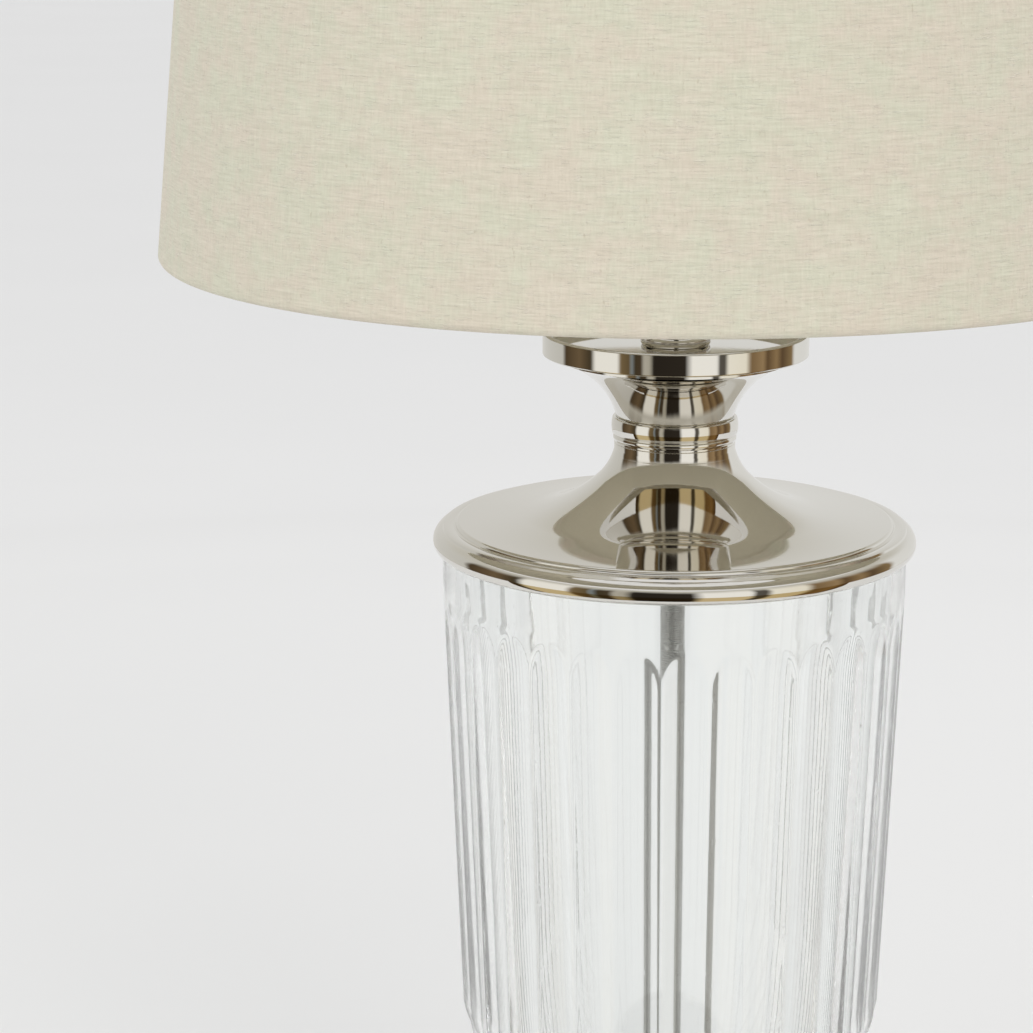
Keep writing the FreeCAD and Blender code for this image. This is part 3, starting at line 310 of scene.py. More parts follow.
steel = grained("zinc_plated_steel", "steel", (0.42, 0.42, 0.41), (0.62, 0.61, 0.58), (900, 900, 900),
                0.22, 0.15, 0.00002, metallic=1.0)
casting = grained("cast_iron", "casting", (0.05, 0.05, 0.05), (0.14, 0.14, 0.135), (700, 700, 700),
                  0.6, 0.3, 0.0003, metallic=0.6)
felt = grained("wool_felt", "felt", (0.012, 0.012, 0.013), (0.05, 0.05, 0.052), (2200, 2200, 1200),
               0.85, 0.15, 0.0004, Sheen_Weight=0.4)
black_plastic = grained("black_plastic", "black_plastic", (0.012, 0.012, 0.012), (0.03, 0.03, 0.03),
                        (1500, 1500, 1500), 0.3, 0.2, 0.00003)
fibre = grained("pressed_fibre", "fibre", (0.16, 0.09, 0.05), (0.33, 0.21, 0.13), (300, 300, 60),
                0.6, 0.3, 0.0001)
brass = grained("bare_brass", "contact_brass", (0.62, 0.44, 0.20), (0.83, 0.66, 0.36), (600, 600, 600),
                0.16, 0.18, 0.00002, metallic=1.0)
seal = grained("soft_seal", "gasket", (0.62, 0.62, 0.59), (0.78, 0.78, 0.75), (500, 500, 500),
               0.45, 0.2, 0.00005, Transmission_Weight=0.35)
opal = grained("coated_bulb_glass", "opal_glass", (0.86, 0.85, 0.82), (0.93, 0.92, 0.89), (40, 40, 40),
               0.22, 0.1, 0.00002, Coat_Weight=0.4)
print("plain finishes ready")

# %% [markdown]
# ## Turning
# Nearly every metal piece here is spun or turned, so one helper makes them all: it takes an outline
# of radius and height, walks along its straights and arcs in small steps, and turns it about the
# lamp's axis. A polished surface shows every flat spot in a reflection, so each corner of each face
# gets the exact direction of the outline there as its normal.


# %% Outlines
def bow(radius, height, bulge):
    """A corner reached along an arc; bulge is the arc's rise over half its chord, to the left."""
    return (radius, height, bulge)


def softened(corners, size=0.25):
    """Replace each sharp outer or inner corner between two straights by a small arc."""
    made = []
    count = len(corners)
    for i, corner in enumerate(corners):
        before = Vector(corners[i - 1][:2])
        here = Vector(corner[:2])
        following = corners[(i + 1) % count]
        after = Vector(following[:2])
        straight = len(corner) == 2 and len(following) == 2
        into, out = here - before, after - here
        if not straight or here.x < 0.01 or min(into.length, out.length) < 3 * size:
            made.append(corner)
            continue
        into.normalize()
        out.normalize()
        turn = math.atan2(into.x * out.y - into.y * out.x, into.dot(out))
        if abs(turn) < 0.3:
            made.append(corner)
            continue
        cut = size * math.tan(abs(turn) / 2)
        made.append(tuple(here - into * cut))
        end = here + out * cut
        made.append((end.x, end.y, -math.tan(turn / 4)))
    return made


def walk(corners, step=3.0):
    """Points along a closed outline, as one run of points and outward directions per edge."""
    runs = []
    for i, corner in enumerate(corners):
        following = corners[(i + 1) % len(corners)]
        start, end = Vector(corner[:2]), Vector(following[:2])
        chord = end - start
        if chord.length < 1e-6:
            continue
        bulge = following[2] if len(following) == 3 else 0.0
        if abs(bulge) < 1e-4:
            side = Vector((chord.y, -chord.x)).normalized()
            runs.append(([start, end], [side, side]))
            continue
        sweep = 4 * math.atan(abs(bulge))
        radius = chord.length / 2 / math.sin(sweep / 2)
        left = Vector((-chord.y, chord.x)).normalized()
        hand = 1.0 if bulge > 0 else -1.0
        centre = (start + end) / 2 - left * hand * radius * math.cos(sweep / 2)
        first = math.atan2(start.y - centre.y, start.x - centre.x)
        steps = max(4, math.ceil(math.degrees(sweep) / step))
        angles = [first - hand * sweep * k / steps for k in range(steps + 1)]
        rays = [Vector((math.cos(a), math.sin(a))) for a in angles]
        runs.append(([centre + ray * radius for ray in rays], [ray * -hand for ray in rays]))
    return runs


# %% Turned pieces
def mesh_piece(name, points, faces, finish, body="lamp"):
    """Link a mesh in metres in place of the solid of that name, and let it ride on a body."""
    mesh = bpy.data.meshes.new(name)
    mesh.from_pydata(points, [], faces)
    mesh.validate()
    mesh.shade_smooth()
    piece = bpy.data.objects.new(name, mesh)
    bpy.context.scene.collection.objects.link(piece)
    mesh.materials.append(finish.material)
    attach(piece, body)
    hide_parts(name)
    return piece


def turned(name, corners, base, finish, body="lamp", segments=256, soften=0.25, centre=0.0):
    """Turn an outline about the upright axis at x = centre and give it exact normals."""
    runs = walk(softened(corners, soften) if soften else corners)
    angles = np.arange(segments) * 2 * math.pi / segments
    ring = np.stack([np.cos(angles), np.sin(angles)], 1)
    rows = []                                   # (radius, height) of each ring of points
    strips = []                                 # (row, row, direction, direction) of each band
    for points, sides in runs:
        for k in range(len(points) - 1):
            if k or not rows:
                rows.append(points[k])
            strips.append([len(rows) - 1, len(rows), sides[k], sides[k + 1]])
        rows.append(points[-1])
    rows.pop()
    strips[-1][1] = 0
    points, first = [], []
    for radius, height in rows:
        first.append(len(points))
        turns = ring[:1] * 0 if radius < 1e-5 else ring * radius
        points += [(centre * MM + x * MM, y * MM, (base + height) * MM) for x, y in turns]
    faces, normals = [], []
    for low, high, side_low, side_high in strips:
        pole_low, pole_high = rows[low][0] < 1e-5, rows[high][0] < 1e-5
        if pole_low and pole_high:
            continue
        for j in range(segments):
            k = (j + 1) % segments
            corner = [(low, j, side_low), (low, k, side_low),
                      (high, k, side_high), (high, j, side_high)]
            if pole_low:
                corner = [(low, 0, side_low)] + corner[2:]
            if pole_high:
                corner = corner[:2] + [(high, 0, side_high)]
            faces.append([first[row] + turn for row, turn, _ in corner])
            normals += [(ring[turn][0] * side.x, ring[turn][1] * side.x, side.y)
                        for _, turn, side in corner]
    piece = mesh_piece(name, points, faces, finish, body)
    piece.data.normals_split_custom_set(normals)
    return piece


print("turning helper ready")

# %% [markdown]
# ## The spun pressings
# The glass's cap and the upper part of the foot are one and the same pressing: sheet brass spun
# over a form into a trumpet, a nearly flat disc, a small step and a rolled rim. Turning its outline
# once gives the cap. The foot uses it again, standing on a straight skirt.

# %% The pressing's two sides
def pressing_outside(base):
    return [
        (93.08, base),
        bow(95.3, base + 3.956, -0.34),
        bow(91.6, base + 8.6, -0.32),
        (91.2, base + 9.4),
        bow(87.5, base + 9.6, -0.10),
        bow(86.4, base + 9.9, 0.25),
        bow(84.9, base + 11.2, -0.36),
        bow(61.0, base + 13.6, 0.023),
        bow(30.0, base + 29.0, 0.16),
        bow(24.4, base + 38.0, 0.114),
        bow(23.8, base + 40.25, 0.06),
        (23.8, base + 42.5),
    ]


def pressing_inside(base):
    return [
        (5.3, base + 42.5),
        (5.3, base + 41.1),
        (22.4, base + 41.1),
        (23.0, base + 38.0),
        bow(28.95, base + 27.95, -0.114),
        bow(60.7, base + 12.2, -0.16),
        bow(84.0, base + 9.8, -0.023),
        (85.0, base + 7.2),
        (92.0, base + 7.2),
    ]


# %% Cap and foot
turned("glass_cap", [*pressing_outside(0.0), *pressing_inside(0.0), bow(93.9, 3.956, 0.30),
                     bow(92.08, 0.0, 0.30)], level("glass_cap"), nickel)
SKIRT = 98.0
SKIRT_HEIGHT = 12.0
SKIRT_WALL = 1.4
shell = turned("foot_shell", [(SKIRT, 0.0), (SKIRT, SKIRT_HEIGHT - 0.8),
                              bow(SKIRT - 0.8, SKIRT_HEIGHT, -0.41),
                              *pressing_outside(SKIRT_HEIGHT), *pressing_inside(SKIRT_HEIGHT),
                              (92.0, SKIRT_HEIGHT - SKIRT_WALL), (SKIRT - SKIRT_WALL, SKIRT_HEIGHT - SKIRT_WALL),
                              (SKIRT - SKIRT_WALL, 0.0)], level("foot_shell"), nickel)

# %% [markdown]
# The cord's bush sits in a hole in the back of the skirt. Drilling it gives the wall new corners,
# so each corner near the hole gets its direction again: out from the lamp's axis on the wall, and
# toward the drill's axis in the hole. All the others keep theirs.


# %% Inlet hole
INLET_HOLE = 4.15                              # the bush's outside and a hair's breadth
DRILL_REACH = (94.0, 101.0)                    # from inside the skirt to outside it
DRILL_SIDES = 64


def face_corners(mesh):
    """Every corner of every face: the face, the corner's number and its place."""
    for face in mesh.polygons:
        for loop in face.loop_indices:
            yield face, loop, mesh.vertices[mesh.loops[loop].vertex_index].co


def rounded(place):
    return tuple(round(c, 6) for c in place)


def drill_bit(radius, height, near, far):
    """A many-sided bar along y."""
    turns = [2 * math.pi * k / DRILL_SIDES for k in range(DRILL_SIDES)]
    points = [(radius * MM * math.cos(a), y * MM, (height + radius * math.sin(a)) * MM)
              for y in (near, far) for a in turns]
    turn = range(DRILL_SIDES)
    faces = [(k, (k + 1) % DRILL_SIDES, DRILL_SIDES + (k + 1) % DRILL_SIDES, DRILL_SIDES + k) for k in turn]
    faces += [tuple(turn)[::-1], tuple(DRILL_SIDES + k for k in turn)]
    mesh = bpy.data.meshes.new("drill")
    mesh.from_pydata(points, [], faces)
    bit = bpy.data.objects.new("drill", mesh)
    bpy.context.scene.collection.objects.link(bit)
    return bit


def drilled(piece, radius, height, near, far):
    """Drill a hole along y through a turned wall, and keep the wall's exact normals."""
    old = piece.data
    kept = {}
    for face, loop, place in face_corners(old):
        direction = Vector(old.corner_normals[loop].vector)
        kept.setdefault(rounded(place), []).append((face.normal.copy(), direction))
    bit = drill_bit(radius, height, near, far)
    cut = piece.modifiers.new("hole", "BOOLEAN")
    cut.operation, cut.solver, cut.object = "DIFFERENCE", "EXACT", bit
    mesh = bpy.data.meshes.new_from_object(piece.evaluated_get(bpy.context.evaluated_depsgraph_get()))
    piece.modifiers.clear()
    piece.data = mesh
    bpy.data.objects.remove(bit)
    normals = []
    for face, _, place in face_corners(mesh):
        before = max(kept.get(rounded(place), []), key=lambda pair: pair[0].dot(face.normal), default=None)
        if before and before[0].dot(face.normal) > 0.99:
            normals.append(before[1])
            continue
        from_axis = Vector((place.x, 0.0, place.z - height * MM))
        wall = Vector((place.x, place.y, 0.0)).normalized()
        facing = face.normal.dot(wall)
        if abs(from_axis.length - radius * MM) < 1e-5 and abs(facing) < 0.5:
            normals.append(-from_axis.normalized())
        elif abs(facing) > 0.9:
            normals.append(wall * math.copysign(1.0, facing))
        else:
            normals.append(face.normal.copy())
    mesh.shade_smooth()
    mesh.normals_split_custom_set(normals)


inlet_low, inlet_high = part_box("cord_bushing")
inlet_height = (inlet_low.z + inlet_high.z) / 2 / MM
drilled(shell, INLET_HOLE, inlet_height, *DRILL_REACH)
print("inlet hole at", round(inlet_height, 2), "mm")

# %% [markdown]
# ## Collars, flares and tray
# Between the bigger pieces sit turned rings with a small bead and a rounded band. A flare stands in
# each ring: the lower one opens into a cup for the glass's foot, the upper one carries the tray.


# %% Collars and flares
def collar(name):
    turned(name, [(23.8, 0.0), (23.8, 0.9), bow(23.8, 3.5, -0.35), (24.55, 4.0), bow(24.55, 9.6, -0.12),
                  bow(23.75, 10.4, -0.41), (23.2, 10.4), (23.2, 8.4), (5.3, 8.4), (5.3, 4.6), (19.5, 4.6),
                  (19.5, 0.0)], level(name), nickel)


FLARE_FOOT = [(5.3, 0.0), (23.0, 0.0), (23.0, 1.5), bow(27.7, 12.0, 0.105)]
FLARE_INSIDE = [bow(26.53, 12.52, -0.15), bow(21.7, 1.3, -0.105), (5.3, 1.3)]
collar("foot_collar")
collar("neck_collar")
turned("neck_flare", [*FLARE_FOOT, bow(45.0, 24.4, 0.155), (45.0, 26.6), (43.2, 26.6), (43.2, 25.3),
                      *FLARE_INSIDE], level("neck_flare"), nickel)
turned("glass_cup", [*FLARE_FOOT, bow(44.5, 23.5, 0.155), bow(47.6, 25.9, -0.30), (47.6, 29.2),
                     bow(46.8, 30.0, -0.41), (44.8, 30.0), (44.8, 25.0), (5.3, 25.0), (5.3, 23.5),
                     (41.0, 23.5), *FLARE_INSIDE], level("glass_cup"), nickel)

# %% Tray and ferrule
turned("drip_tray", [(40.0, 0.0), (51.4, 0.0), bow(52.0, 0.6, -0.41), (52.0, 8.0), bow(51.3, 8.7, -0.41),
                     (50.1, 8.7), bow(49.6, 8.2, -0.41), (49.6, 6.1), bow(47.2, 3.7, 0.41), (5.3, 3.7),
                     (5.3, 1.85), (40.0, 1.85)], level("drip_tray"), nickel)
turned("ferrule", [(5.3, 0.0), (12.9, 0.0), bow(13.7, 2.1, -0.25), bow(12.5, 4.2, -0.30), (9.5, 4.2),
                   (9.5, 8.0), (5.3, 8.0)], level("ferrule"), nickel)

# %% [markdown]
# ## The glass
# A mould of 32 sections pressed this glass. Each flute is the mark of a round bar laid along the
# outside, 24.2 mm in radius and sunk 1.65 mm, and at the top the bar lifts away along an arc, which
# leaves the pointed arch. So the surface is computed the same way: at every point, the bar's
# distance from the plain outline says how deep the flute is there.

# %% Flutes
FLUTES = 32
FLUTE_STEPS = 20
BAR = 24.2
SUNK = 1.65
LIFT = 74.0
OVERRUN = 12.0                                 # a long flute runs on below the waist
POLISH = 0.08                                  # fire polish rounds every edge a little
FOOT = (47.0, 4.0)                             # radius and height of the outline's corners
SHOULDER = (81.9, 64.6)
WAIST = (84.6, 73.6)
BAND = (91.6, 246.0)
BOWL_TOP = 69.0                                # above it the bowl's flutes start to run out
SIDE_FROM = 62.0                               # the long flutes are looked for above this height
BOWL_TO = 86.0                                 # and the bowl's flutes below this one
side = Vector((BAND[0] - WAIST[0], BAND[1] - WAIST[1])).normalized()
arch = math.sqrt(2 * (LIFT + BAR) * SUNK)


def lifted(beyond):
    """How far the bar has left the glass, at a distance beyond the point where it starts to lift."""
    return LIFT - np.sqrt(np.maximum(LIFT**2 - np.maximum(beyond, 0.0)**2, 1.0))


def flute_depth(radius, height, outward, theta):
    """The flute's depth at a point of the plain outline, theta away from the flute's middle."""
    along_side = (height - WAIST[1]) / side.y
    top = (BAND[1] - WAIST[1]) / side.y
    side_gap = BAR - SUNK + lifted(along_side - (top - arch)) + lifted(-OVERRUN - along_side)
    bowl_gap = BAR - SUNK + lifted(height - BOWL_TOP)
    away = np.abs(np.sin(theta)) * radius
    drop = radius * (1 - np.cos(theta)) * outward
    bar = np.sqrt(BAR**2 - away**2)
    none = -9.0
    on_side = np.where(height > SIDE_FROM, bar - side_gap - drop, none)
    on_bowl = np.where(height < BOWL_TO, bar - bowl_gap - drop, none)
    deepest = np.maximum(on_side, on_bowl)
    polished = 0.5 * (deepest + np.sqrt(deepest**2 + POLISH**2))
    return np.where(deepest > -0.6, polished, 0.0) * (height > FOOT[1])


# %% Glass piece
TOP = 268.0
WALL = 5.0
FLOOR = 8.0
HOLE = 8.0
outline = [(HOLE, 0.0), (44.6, 0.0), (44.6, FOOT[1]), FOOT, bow(*SHOULDER, -0.176), bow(*WAIST, -0.08),
           BAND, (BAND[0], TOP), (BAND[0] - WALL, TOP), (BAND[0] - WALL, BAND[1]),
           (WAIST[0] - WALL, WAIST[1]), (SHOULDER[0] - WALL, SHOULDER[1]), bow(38.0, FLOOR, 0.176),
           (HOLE, FLOOR)]
rows = []
for points, sides in walk(softened(outline, 0.6), 1.0):
    length = (points[-1] - points[0]).length
    outer = points[0].y >= 3.9 and sides[0].x > 0.2 and points[0].x > 44.9
    if len(points) == 2 and outer:
        steps = max(2, int(length / 0.9))
        points = [points[0].lerp(points[1], k / steps) for k in range(steps + 1)]
        sides = [sides[0]] * (steps + 1)
    rows += [(p.x, p.y, s.x, s.y, outer) for p, s in zip(points[:-1], sides[:-1])]
rows = np.array(rows, float)
theta = np.arange(FLUTES * FLUTE_STEPS) * 2 * math.pi / (FLUTES * FLUTE_STEPS)
sector = 2 * math.pi / FLUTES
local = (theta + sector / 2) % sector - sector / 2
radius, height, out_x, out_z, outer = (rows[:, k:k + 1] for k in range(5))
depth = flute_depth(radius, height, out_x, local[None, :]) * outer
cut_radius = radius - depth * out_x
cut_height = height - depth * out_z
turned_to = theta - math.pi / 2
points = np.stack([cut_radius * np.cos(turned_to), cut_radius * np.sin(turned_to),
                   cut_height + level("glass_body") + 0 * turned_to], -1) * MM
count, across = cut_radius.shape
index = np.arange(count * across).reshape(count, across)
up, over = np.roll(index, -1, 0), np.roll(index, -1, 1)
faces = np.stack([index, over, np.roll(up, -1, 1), up], -1).reshape(-1, 4)
glass_body = mesh_piece("glass_body", points.reshape(-1, 3).tolist(), faces.tolist(), glass)
glass_body.data.set_sharp_from_angle(angle=math.radians(60))
print("glass:", count, "rows of", across, "points, flutes", round(float(depth.max()), 2), "mm deep")

# %% [markdown]
# ## The threaded rod
# One rod clamps the whole lamp, and it shows through the glass. It is cut with a fine thread, which
# gives it bright and dark bars. The thread is real geometry: the radius rises and falls once per
# pitch, and the phase turns once round the rod.

# %% Rod
PITCH = 0.94
ROUND = 40
ROD = 5.1
ROD_BORE = 3.4
THREAD_DEPTH = 0.55
rod_low, rod_high = (corner.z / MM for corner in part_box("threaded_rod"))
heights = np.arange(rod_low, rod_high, PITCH / 6)
heights = np.append(heights, rod_high)[:, None]
around = np.arange(ROUND) * 2 * math.pi / ROUND
phase = (heights / PITCH - around[None, :] / (2 * math.pi)) % 1.0
runout = np.clip((rod_high - heights) * 2, 0, 1)
crest = ROD - THREAD_DEPTH * (1 - np.abs(2 * phase - 1)) * runout - 0.01
rod_points = np.stack([crest * np.cos(around), crest * np.sin(around), heights + 0 * around], -1)
bore = np.stack([ROD_BORE * np.cos(around), ROD_BORE * np.sin(around), 0 * around], -1)
rod_points = np.concatenate([rod_points, [bore + (0, 0, rod_high)], [bore + (0, 0, rod_low)]]) * MM
count = len(rod_points)
index = np.arange(count * ROUND).reshape(count, ROUND)
up = np.roll(index, -1, 0)
faces = np.stack([index, np.roll(index, -1, 1), np.roll(up, -1, 1), up], -1).reshape(-1, 4)
rod = mesh_piece("threaded_rod", rod_points.reshape(-1, 3).tolist(), faces.tolist(), steel)
rod.data.set_sharp_from_angle(angle=math.radians(70))
print("rod:", count, "rings")

# %% [markdown]
# ## The shade
# Linen is glued to a stiff lining, and folded over a wire ring at the top and at the bottom. The
# fold makes a soft round edge, and the raw edge is tucked in behind it. The shade's outline is
# that folded sheet. The lining's greyish cream is partly its own tone and partly painted shade: it
# is darkened to match the inside of the shade as the polished cap mirrors it.

# %% Linen piece
SHADE_BOTTOM = 200.0
SHADE_HEIGHT = 254.0
NARROWING = 23.0
CLOTH = 0.9
FOLD = 2.85                                    # the hem's outer bend
HEM_DEPTH = 11.0


def shade_at(height):
    return SHADE_BOTTOM - NARROWING / SHADE_HEIGHT * height


hem = 2 * FOLD
inner = hem - CLOTH
low, high = FOLD, SHADE_HEIGHT - FOLD
tucked_low, tucked_high = HEM_DEPTH, SHADE_HEIGHT - HEM_DEPTH
linen_outline = [
    bow(shade_at(low), low, -1.0),
    (shade_at(high), high),
    bow(shade_at(high) - hem, high, -1.0),
    (shade_at(tucked_high) - hem, tucked_high),
    (shade_at(tucked_high) - inner, tucked_high),
    (shade_at(high) - inner, high),
    bow(shade_at(high) - CLOTH, high, 1.0),
    (shade_at(low) - CLOTH, low),
    bow(shade_at(low) - inner, low, 1.0),
    (shade_at(tucked_low) - inner, tucked_low),
    (shade_at(tucked_low) - hem, tucked_low),
    (shade_at(low) - hem, low),
]
shade_level = level("shade_fabric")
shade = turned("shade_fabric", linen_outline, shade_level, linen, "shade", segments=512, soften=0.0)
SLANT = math.hypot(SHADE_HEIGHT - hem, NARROWING) + 2 * math.pi * (FOLD - CLOTH / 2) + 2 * (HEM_DEPTH - FOLD)
cut_area = math.pi * (shade_at(0) + shade_at(SHADE_HEIGHT)) * SLANT * MM * MM

# %% Lining
LINING_EDGE = 4.95                             # it stops short of the rings in the hems
LINING_OUTSIDE = 1.2                           # both faces, measured in from the cloth's outer face
LINING_INSIDE = 1.7
low, high = LINING_EDGE, SHADE_HEIGHT - LINING_EDGE
turned("shade_liner", [(shade_at(low) - LINING_INSIDE, low), (shade_at(low) - LINING_OUTSIDE, low),
                       (shade_at(high) - LINING_OUTSIDE, high), (shade_at(high) - LINING_INSIDE, high)],
       shade_level, lining, "shade", soften=0.0)

# %% [markdown]
# ## Felt and seals
# The foot stands on a disc of wool felt, cut with a soft edge. The glass is clamped between two
# rings of soft plastic, and the pressure makes their edges bulge.


# %% Felt and seals
def height_of(node):
    low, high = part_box(node)
    return (high.z - low.z) / MM


def radius_of(node):
    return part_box(node)[1].x / MM


def soft_ring(name, inner, finish, bulge=0.2):
    """A clamped soft ring: flat above and below, bulging at its edges."""
    outer, height = radius_of(name), height_of(name)
    bend = 2 * bulge / height
    corners = [(outer - bulge, 0.0), bow(outer - bulge, height, -bend)]
    if inner:
        corners += [(inner + bulge, height), bow(inner + bulge, 0.0, -bend)]
    else:
        corners += [(0.0, height), (0.0, 0.0)]
    return turned(name, corners, level(name), finish, soften=0.0)


soft_ring("felt_pad", 0.0, felt, 0.35)
soft_ring("lower_gasket", 12.0, seal)
soft_ring("upper_gasket", 86.8, seal)

# %% [markdown]
# ## Harp, lampholder and bulb
# The lampholder is a bell and a sleeve, both drawn from thin sheet. The bulb is blown in one piece:
# a round globe that runs into a narrow neck. The finial is turned from bar: a foot, a waist and a
# ball. The two sleeves slide down to lock the harp on its posts.

# %% Lampholder
HOLDER = 20.2
HOLDER_NECK = 8.0
SHEET = 0.6
BELL_FOOT = 5.0
BELL_TOP = 16.0
turned("holder_cap", [(5.3, 0.0), (HOLDER_NECK, 0.0), (HOLDER_NECK, BELL_FOOT), bow(HOLDER, BELL_TOP, -0.30),
                      (HOLDER, 20.6), bow(HOLDER, 21.6, -0.5), (HOLDER, 22.0), (HOLDER - SHEET, 22.0),
                      (HOLDER - SHEET, BELL_TOP), bow(HOLDER_NECK, BELL_FOOT + 2 * SHEET, 0.30),
                      (5.3, BELL_FOOT + 2 * SHEET)],
       level("holder_cap"), nickel_worn, segments=96, soften=0.15)
for name in ("harp_sleeve_left", "harp_sleeve_right"):
    low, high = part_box(name)
    middle, outer = (low.x + high.x) / 2 / MM, (high.x - low.x) / 2 / MM
    tall = height_of(name)
    turned(name, [(outer - 1.8, 0.0), (outer - 0.5, 0.0), bow(outer, 0.5, -0.41), (outer, tall - 3.0),
                  bow(outer, tall - 2.0, 0.4), (outer, tall - 0.5), bow(outer - 0.5, tall, -0.41),
                  (outer - 1.8, tall)],
           level(name), nickel_worn, body=name.replace("harp_", ""), segments=64, soften=0.0, centre=middle)

# %% Bulb and finial
def ball_arc(sine):
    """The bulge of a ball's outline between its middle and the level at sine times its radius."""
    return math.tan(math.asin(sine) / 4)


QUARTER = ball_arc(1.0)
GLOBE = 30.0
GLOBE_INSIDE = 29.2
MIDDLE = 77.0
cap_top = level("bulb_globe") - level("bulb_contact")
turned("bulb_globe", [(13.4, cap_top), (13.8, cap_top), (14.2, cap_top + 8.0),
                      bow(0.8 * GLOBE, MIDDLE - 0.6 * GLOBE, 0.13), bow(GLOBE, MIDDLE, -ball_arc(0.6)),
                      bow(0.0, MIDDLE + GLOBE, -QUARTER), (0.0, MIDDLE + GLOBE_INSIDE),
                      bow(GLOBE_INSIDE, MIDDLE, QUARTER),
                      bow(0.8 * GLOBE_INSIDE, MIDDLE - 0.6 * GLOBE_INSIDE, ball_arc(0.6)),
                      bow(13.4, cap_top + 8.0, -0.13)],
       level("bulb_contact"), opal, body="bulb", segments=128, soften=0.0)
BALL = 8.5
FINIAL = 27.0
ball_middle = FINIAL - BALL
turned("finial", [(3.3, 0.0), (6.6, 0.0), bow(7.0, 0.4, -0.41), (7.0, 2.1), bow(6.6, 2.5, -0.41),
                  bow(4.6, 7.0, 0.30), bow(0.6 * BALL, ball_middle - 0.8 * BALL, 0.10),
                  bow(BALL, ball_middle, -ball_arc(0.8)), bow(0.0, FINIAL, -QUARTER), (0.0, 9.0), (3.3, 9.0)],
       level("finial"), nickel_worn, body="finial", segments=96, soften=0.0)

# %% [markdown]
# ## The fittings that keep their solids
# Screws, washers, nuts, bent wires and the inner parts of the lampholder are hidden or tiny, so
# their solids are shown as they are, each in its own finish.

# %% Finishes for the solids
KEPT = {
    steel: ["base_washer", "base_nut", "switch_shaft", "bottom_ring", "top_ring", "shade_washer",
            "bulb_screw_cap"],
    casting: ["base_weight"],
    black_plastic: ["cord_bushing", "holder_insert", "switch_knob", "bulb_insulator"],
    fibre: ["holder_insulator"],
    brass: ["terminal_screws", "screw_shell", "centre_contact", "bulb_contact"],
    nickel_worn: ["harp_saddle", "lock_nut", "harp", "harp_stud", "holder_shell", "spider"],
}
for finish, names in KEPT.items():
    for name in names:
        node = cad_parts[name]
        node.data.materials.clear()
        node.data.materials.append(finish.material)
        node.data.shade_smooth()
        node.data.set_sharp_from_angle(angle=math.radians(30))

# %% [markdown]
# ## Stage
# A pale floor and soft light, as in a product studio. Polished nickel shows what stands round it,
# so a tall screen stands in a ring round the set. It is pale where the studio's soft
# boxes were, dark and brown where the room was, and a brown table top lies at its foot. It is seen
# only in reflections.

# %% Floor
stage_finish = Finish("floor_paint", None, Roughness=0.85)
mottle = stage_finish.noise((2.5, 2.5, 2.5), detail=4.0)
stage_finish.feed(Base_Color=stage_finish.mix(mottle, (0.86, 0.86, 0.86, 1.0), (0.835, 0.835, 0.835, 1.0)))


def stage_mesh(name, points, faces, finish):
    """A mesh that isn't part of the lamp."""
    mesh = bpy.data.meshes.new(name)
    mesh.from_pydata(points, [], faces)
    mesh.materials.append(finish.material)
    piece = bpy.data.objects.new(name, mesh)
    bpy.context.scene.collection.objects.link(piece)
    return piece


FLOOR_HALF = 30.0
stage_mesh("floor", [(x * FLOOR_HALF, y * FLOOR_HALF, 0.0) for x, y in ((-1, -1), (1, -1), (1, 1), (-1, 1))],
           [(0, 1, 2, 3)], stage_finish)

# %% Room ring
ROOM = [                                       # bearing in degrees, 0 toward the camera; colour there
    (-180, (0.72, 0.71, 0.68)), (-115, (0.63, 0.62, 0.58)), (-110, (0.08, 0.055, 0.03)),
    (-92, (0.16, 0.11, 0.06)), (-79, (0.06, 0.045, 0.025)), (-74, (0.98, 0.96, 0.90)),
    (-53, (0.98, 0.96, 0.90)), (-49, (0.20, 0.14, 0.07)), (-42, (0.14, 0.10, 0.05)),
    (-40, (0.25, 0.28, 0.29)), (-37, (0.06, 0.045, 0.025)), (-32, (0.07, 0.05, 0.03)),
    (-29, (0.50, 0.47, 0.40)), (-25, (0.45, 0.42, 0.35)), (-21, (0.025, 0.02, 0.015)),
    (6, (0.03, 0.024, 0.018)), (11, (1.0, 0.98, 0.93)), (32, (1.0, 0.98, 0.93)),
    (35, (0.11, 0.10, 0.085)), (40, (0.10, 0.09, 0.075)), (43, (0.95, 0.91, 0.80)),
    (59, (0.92, 0.87, 0.74)), (64, (0.23, 0.15, 0.075)), (76, (0.34, 0.23, 0.12)),
    (82, (0.13, 0.08, 0.04)), (92, (0.30, 0.20, 0.10)), (100, (0.12, 0.075, 0.04)),
    (114, (0.26, 0.18, 0.09)), (119, (0.84, 0.84, 0.82)), (180, (0.74, 0.735, 0.71)),
]
HALF_TURN = 180.0
RING_STEPS = 120
RING_DISTANCE = 1.6
RING_TOP = 1.5
TABLE_EDGE = 0.32
TABLE_HEIGHT = 0.004
TABLE_FACES = range(32, 88)                    # the table lies in front only
room = Finish("room_seen_in_the_metal", None, Roughness=0.9, Specular_IOR_Level=0.0)
room.shader.inputs["Emission Strength"].default_value = 1.0
x, y, z = room.split()
bearing = room.add("ShaderNodeMath", {"operation": "ARCTAN2"}, {0: x, 1: -1.0 * y})
blur = room.noise((2.2, 2.2, 0.7), detail=2.0)
share = (bearing * (HALF_TURN / math.pi) + blur * 4.0 - 2.0 + HALF_TURN) * (0.5 / HALF_TURN)
strips = room.ramp(share, [((b + HALF_TURN) / (2 * HALF_TURN), colour) for b, colour in ROOM])
ceiling = room.add("ShaderNodeMapRange", {"interpolation_type": "SMOOTHSTEP"},
                   {0: z + blur * 0.3, 1: 0.85, 2: 1.5, 3: 0.0, 4: 1.0})
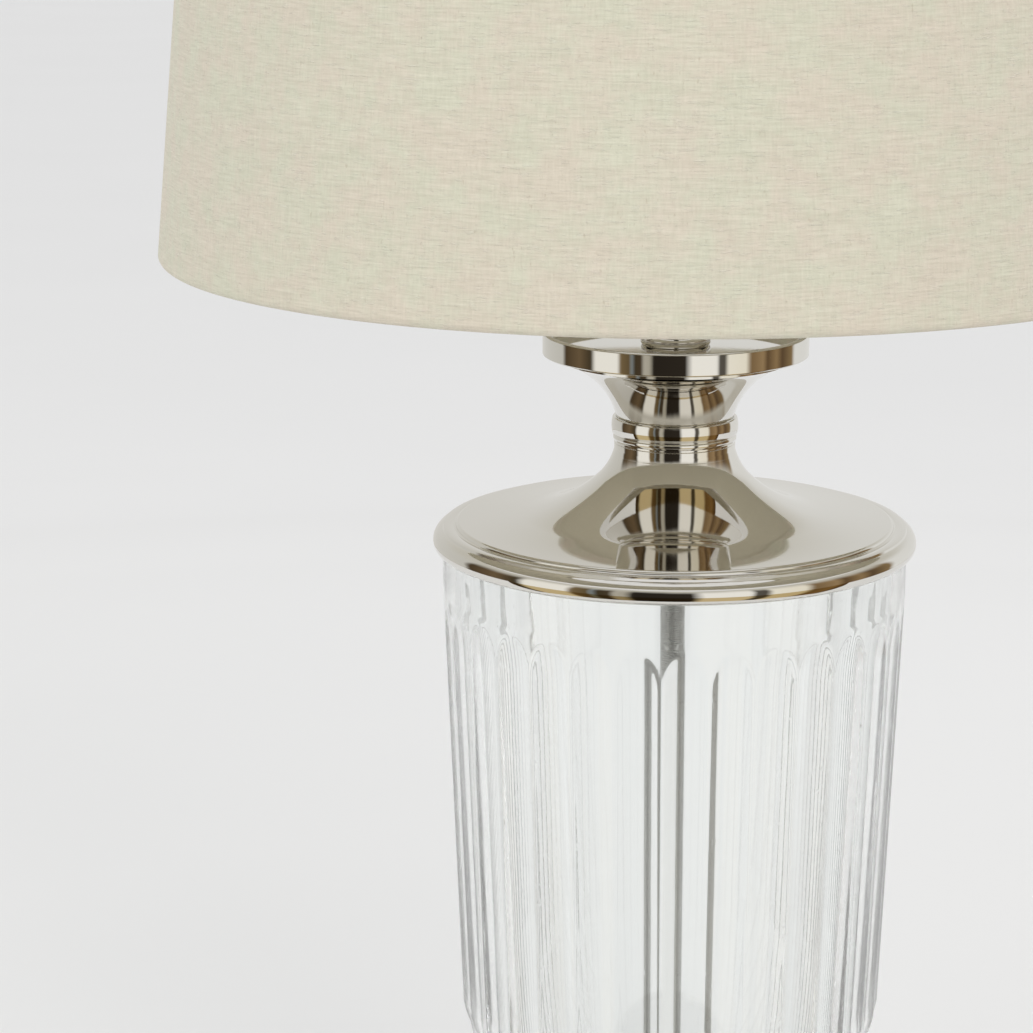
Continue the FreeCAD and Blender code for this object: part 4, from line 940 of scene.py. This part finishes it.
far = room.add("ShaderNodeMath", {"operation": "GREATER_THAN"}, {0: z, 1: 2 * TABLE_HEIGHT})
table = room.mix(1.0, strips, (0.62, 0.50, 0.29, 1.0), "MULTIPLY")
wall = room.mix(ceiling, strips, (0.62, 0.60, 0.54, 1.0))
room.feed(Base_Color=(0.0, 0.0, 0.0, 1.0), Emission_Color=room.mix(far, table, wall))
bearings = np.radians(np.linspace(-HALF_TURN, HALF_TURN, RING_STEPS + 1))
edges = ((TABLE_EDGE, TABLE_HEIGHT), (RING_DISTANCE, TABLE_HEIGHT), (RING_DISTANCE, RING_TOP))
points = [(reach * math.sin(b), -reach * math.cos(b), up) for reach, up in edges for b in bearings]
row = RING_STEPS + 1
faces = [(k, k + 1, k + row + 1, k + row) for k in (*TABLE_FACES, *range(row, row + RING_STEPS))]
room_ring = stage_mesh("room_ring", points, faces, room)
room_ring.visible_camera = False
room_ring.visible_diffuse = False
room_ring.visible_transmission = False
room_ring.visible_shadow = False
print("room ring:", len(faces), "faces")


# %% Lights
def soft_light(name, place, aim, width, height, watts, colour=(1, 1, 1)):
    data = bpy.data.lights.new(name, "AREA")
    data.shape = "RECTANGLE"
    data.size, data.size_y = width, height
    data.energy = watts
    data.color = colour
    light = bpy.data.objects.new(name, data)
    bpy.context.scene.collection.objects.link(light)
    light.location = place
    light.rotation_euler = (Vector(aim) - Vector(place)).to_track_quat("-Z", "Y").to_euler()
    light.visible_glossy = False
    light.visible_camera = False
    light.visible_transmission = False
    return light


soft_light("key_light", (1.2, -2.3, 2.1), (0, 0, 0.5), 1.6, 1.6, 19, (1.0, 0.975, 0.96))
soft_light("fill_light", (-2.0, -1.6, 1.5), (0, 0, 0.5), 1.6, 1.6, 12, (0.96, 1.0, 0.97))
world = bpy.data.worlds.new("studio")
bpy.context.scene.world = world
world.use_nodes = True
world.node_tree.nodes["Background"].inputs["Color"].default_value = (1.0, 1.0, 1.0, 1.0)
world.node_tree.nodes["Background"].inputs["Strength"].default_value = 0.87
bpy.context.scene.view_settings.view_transform = "Standard"
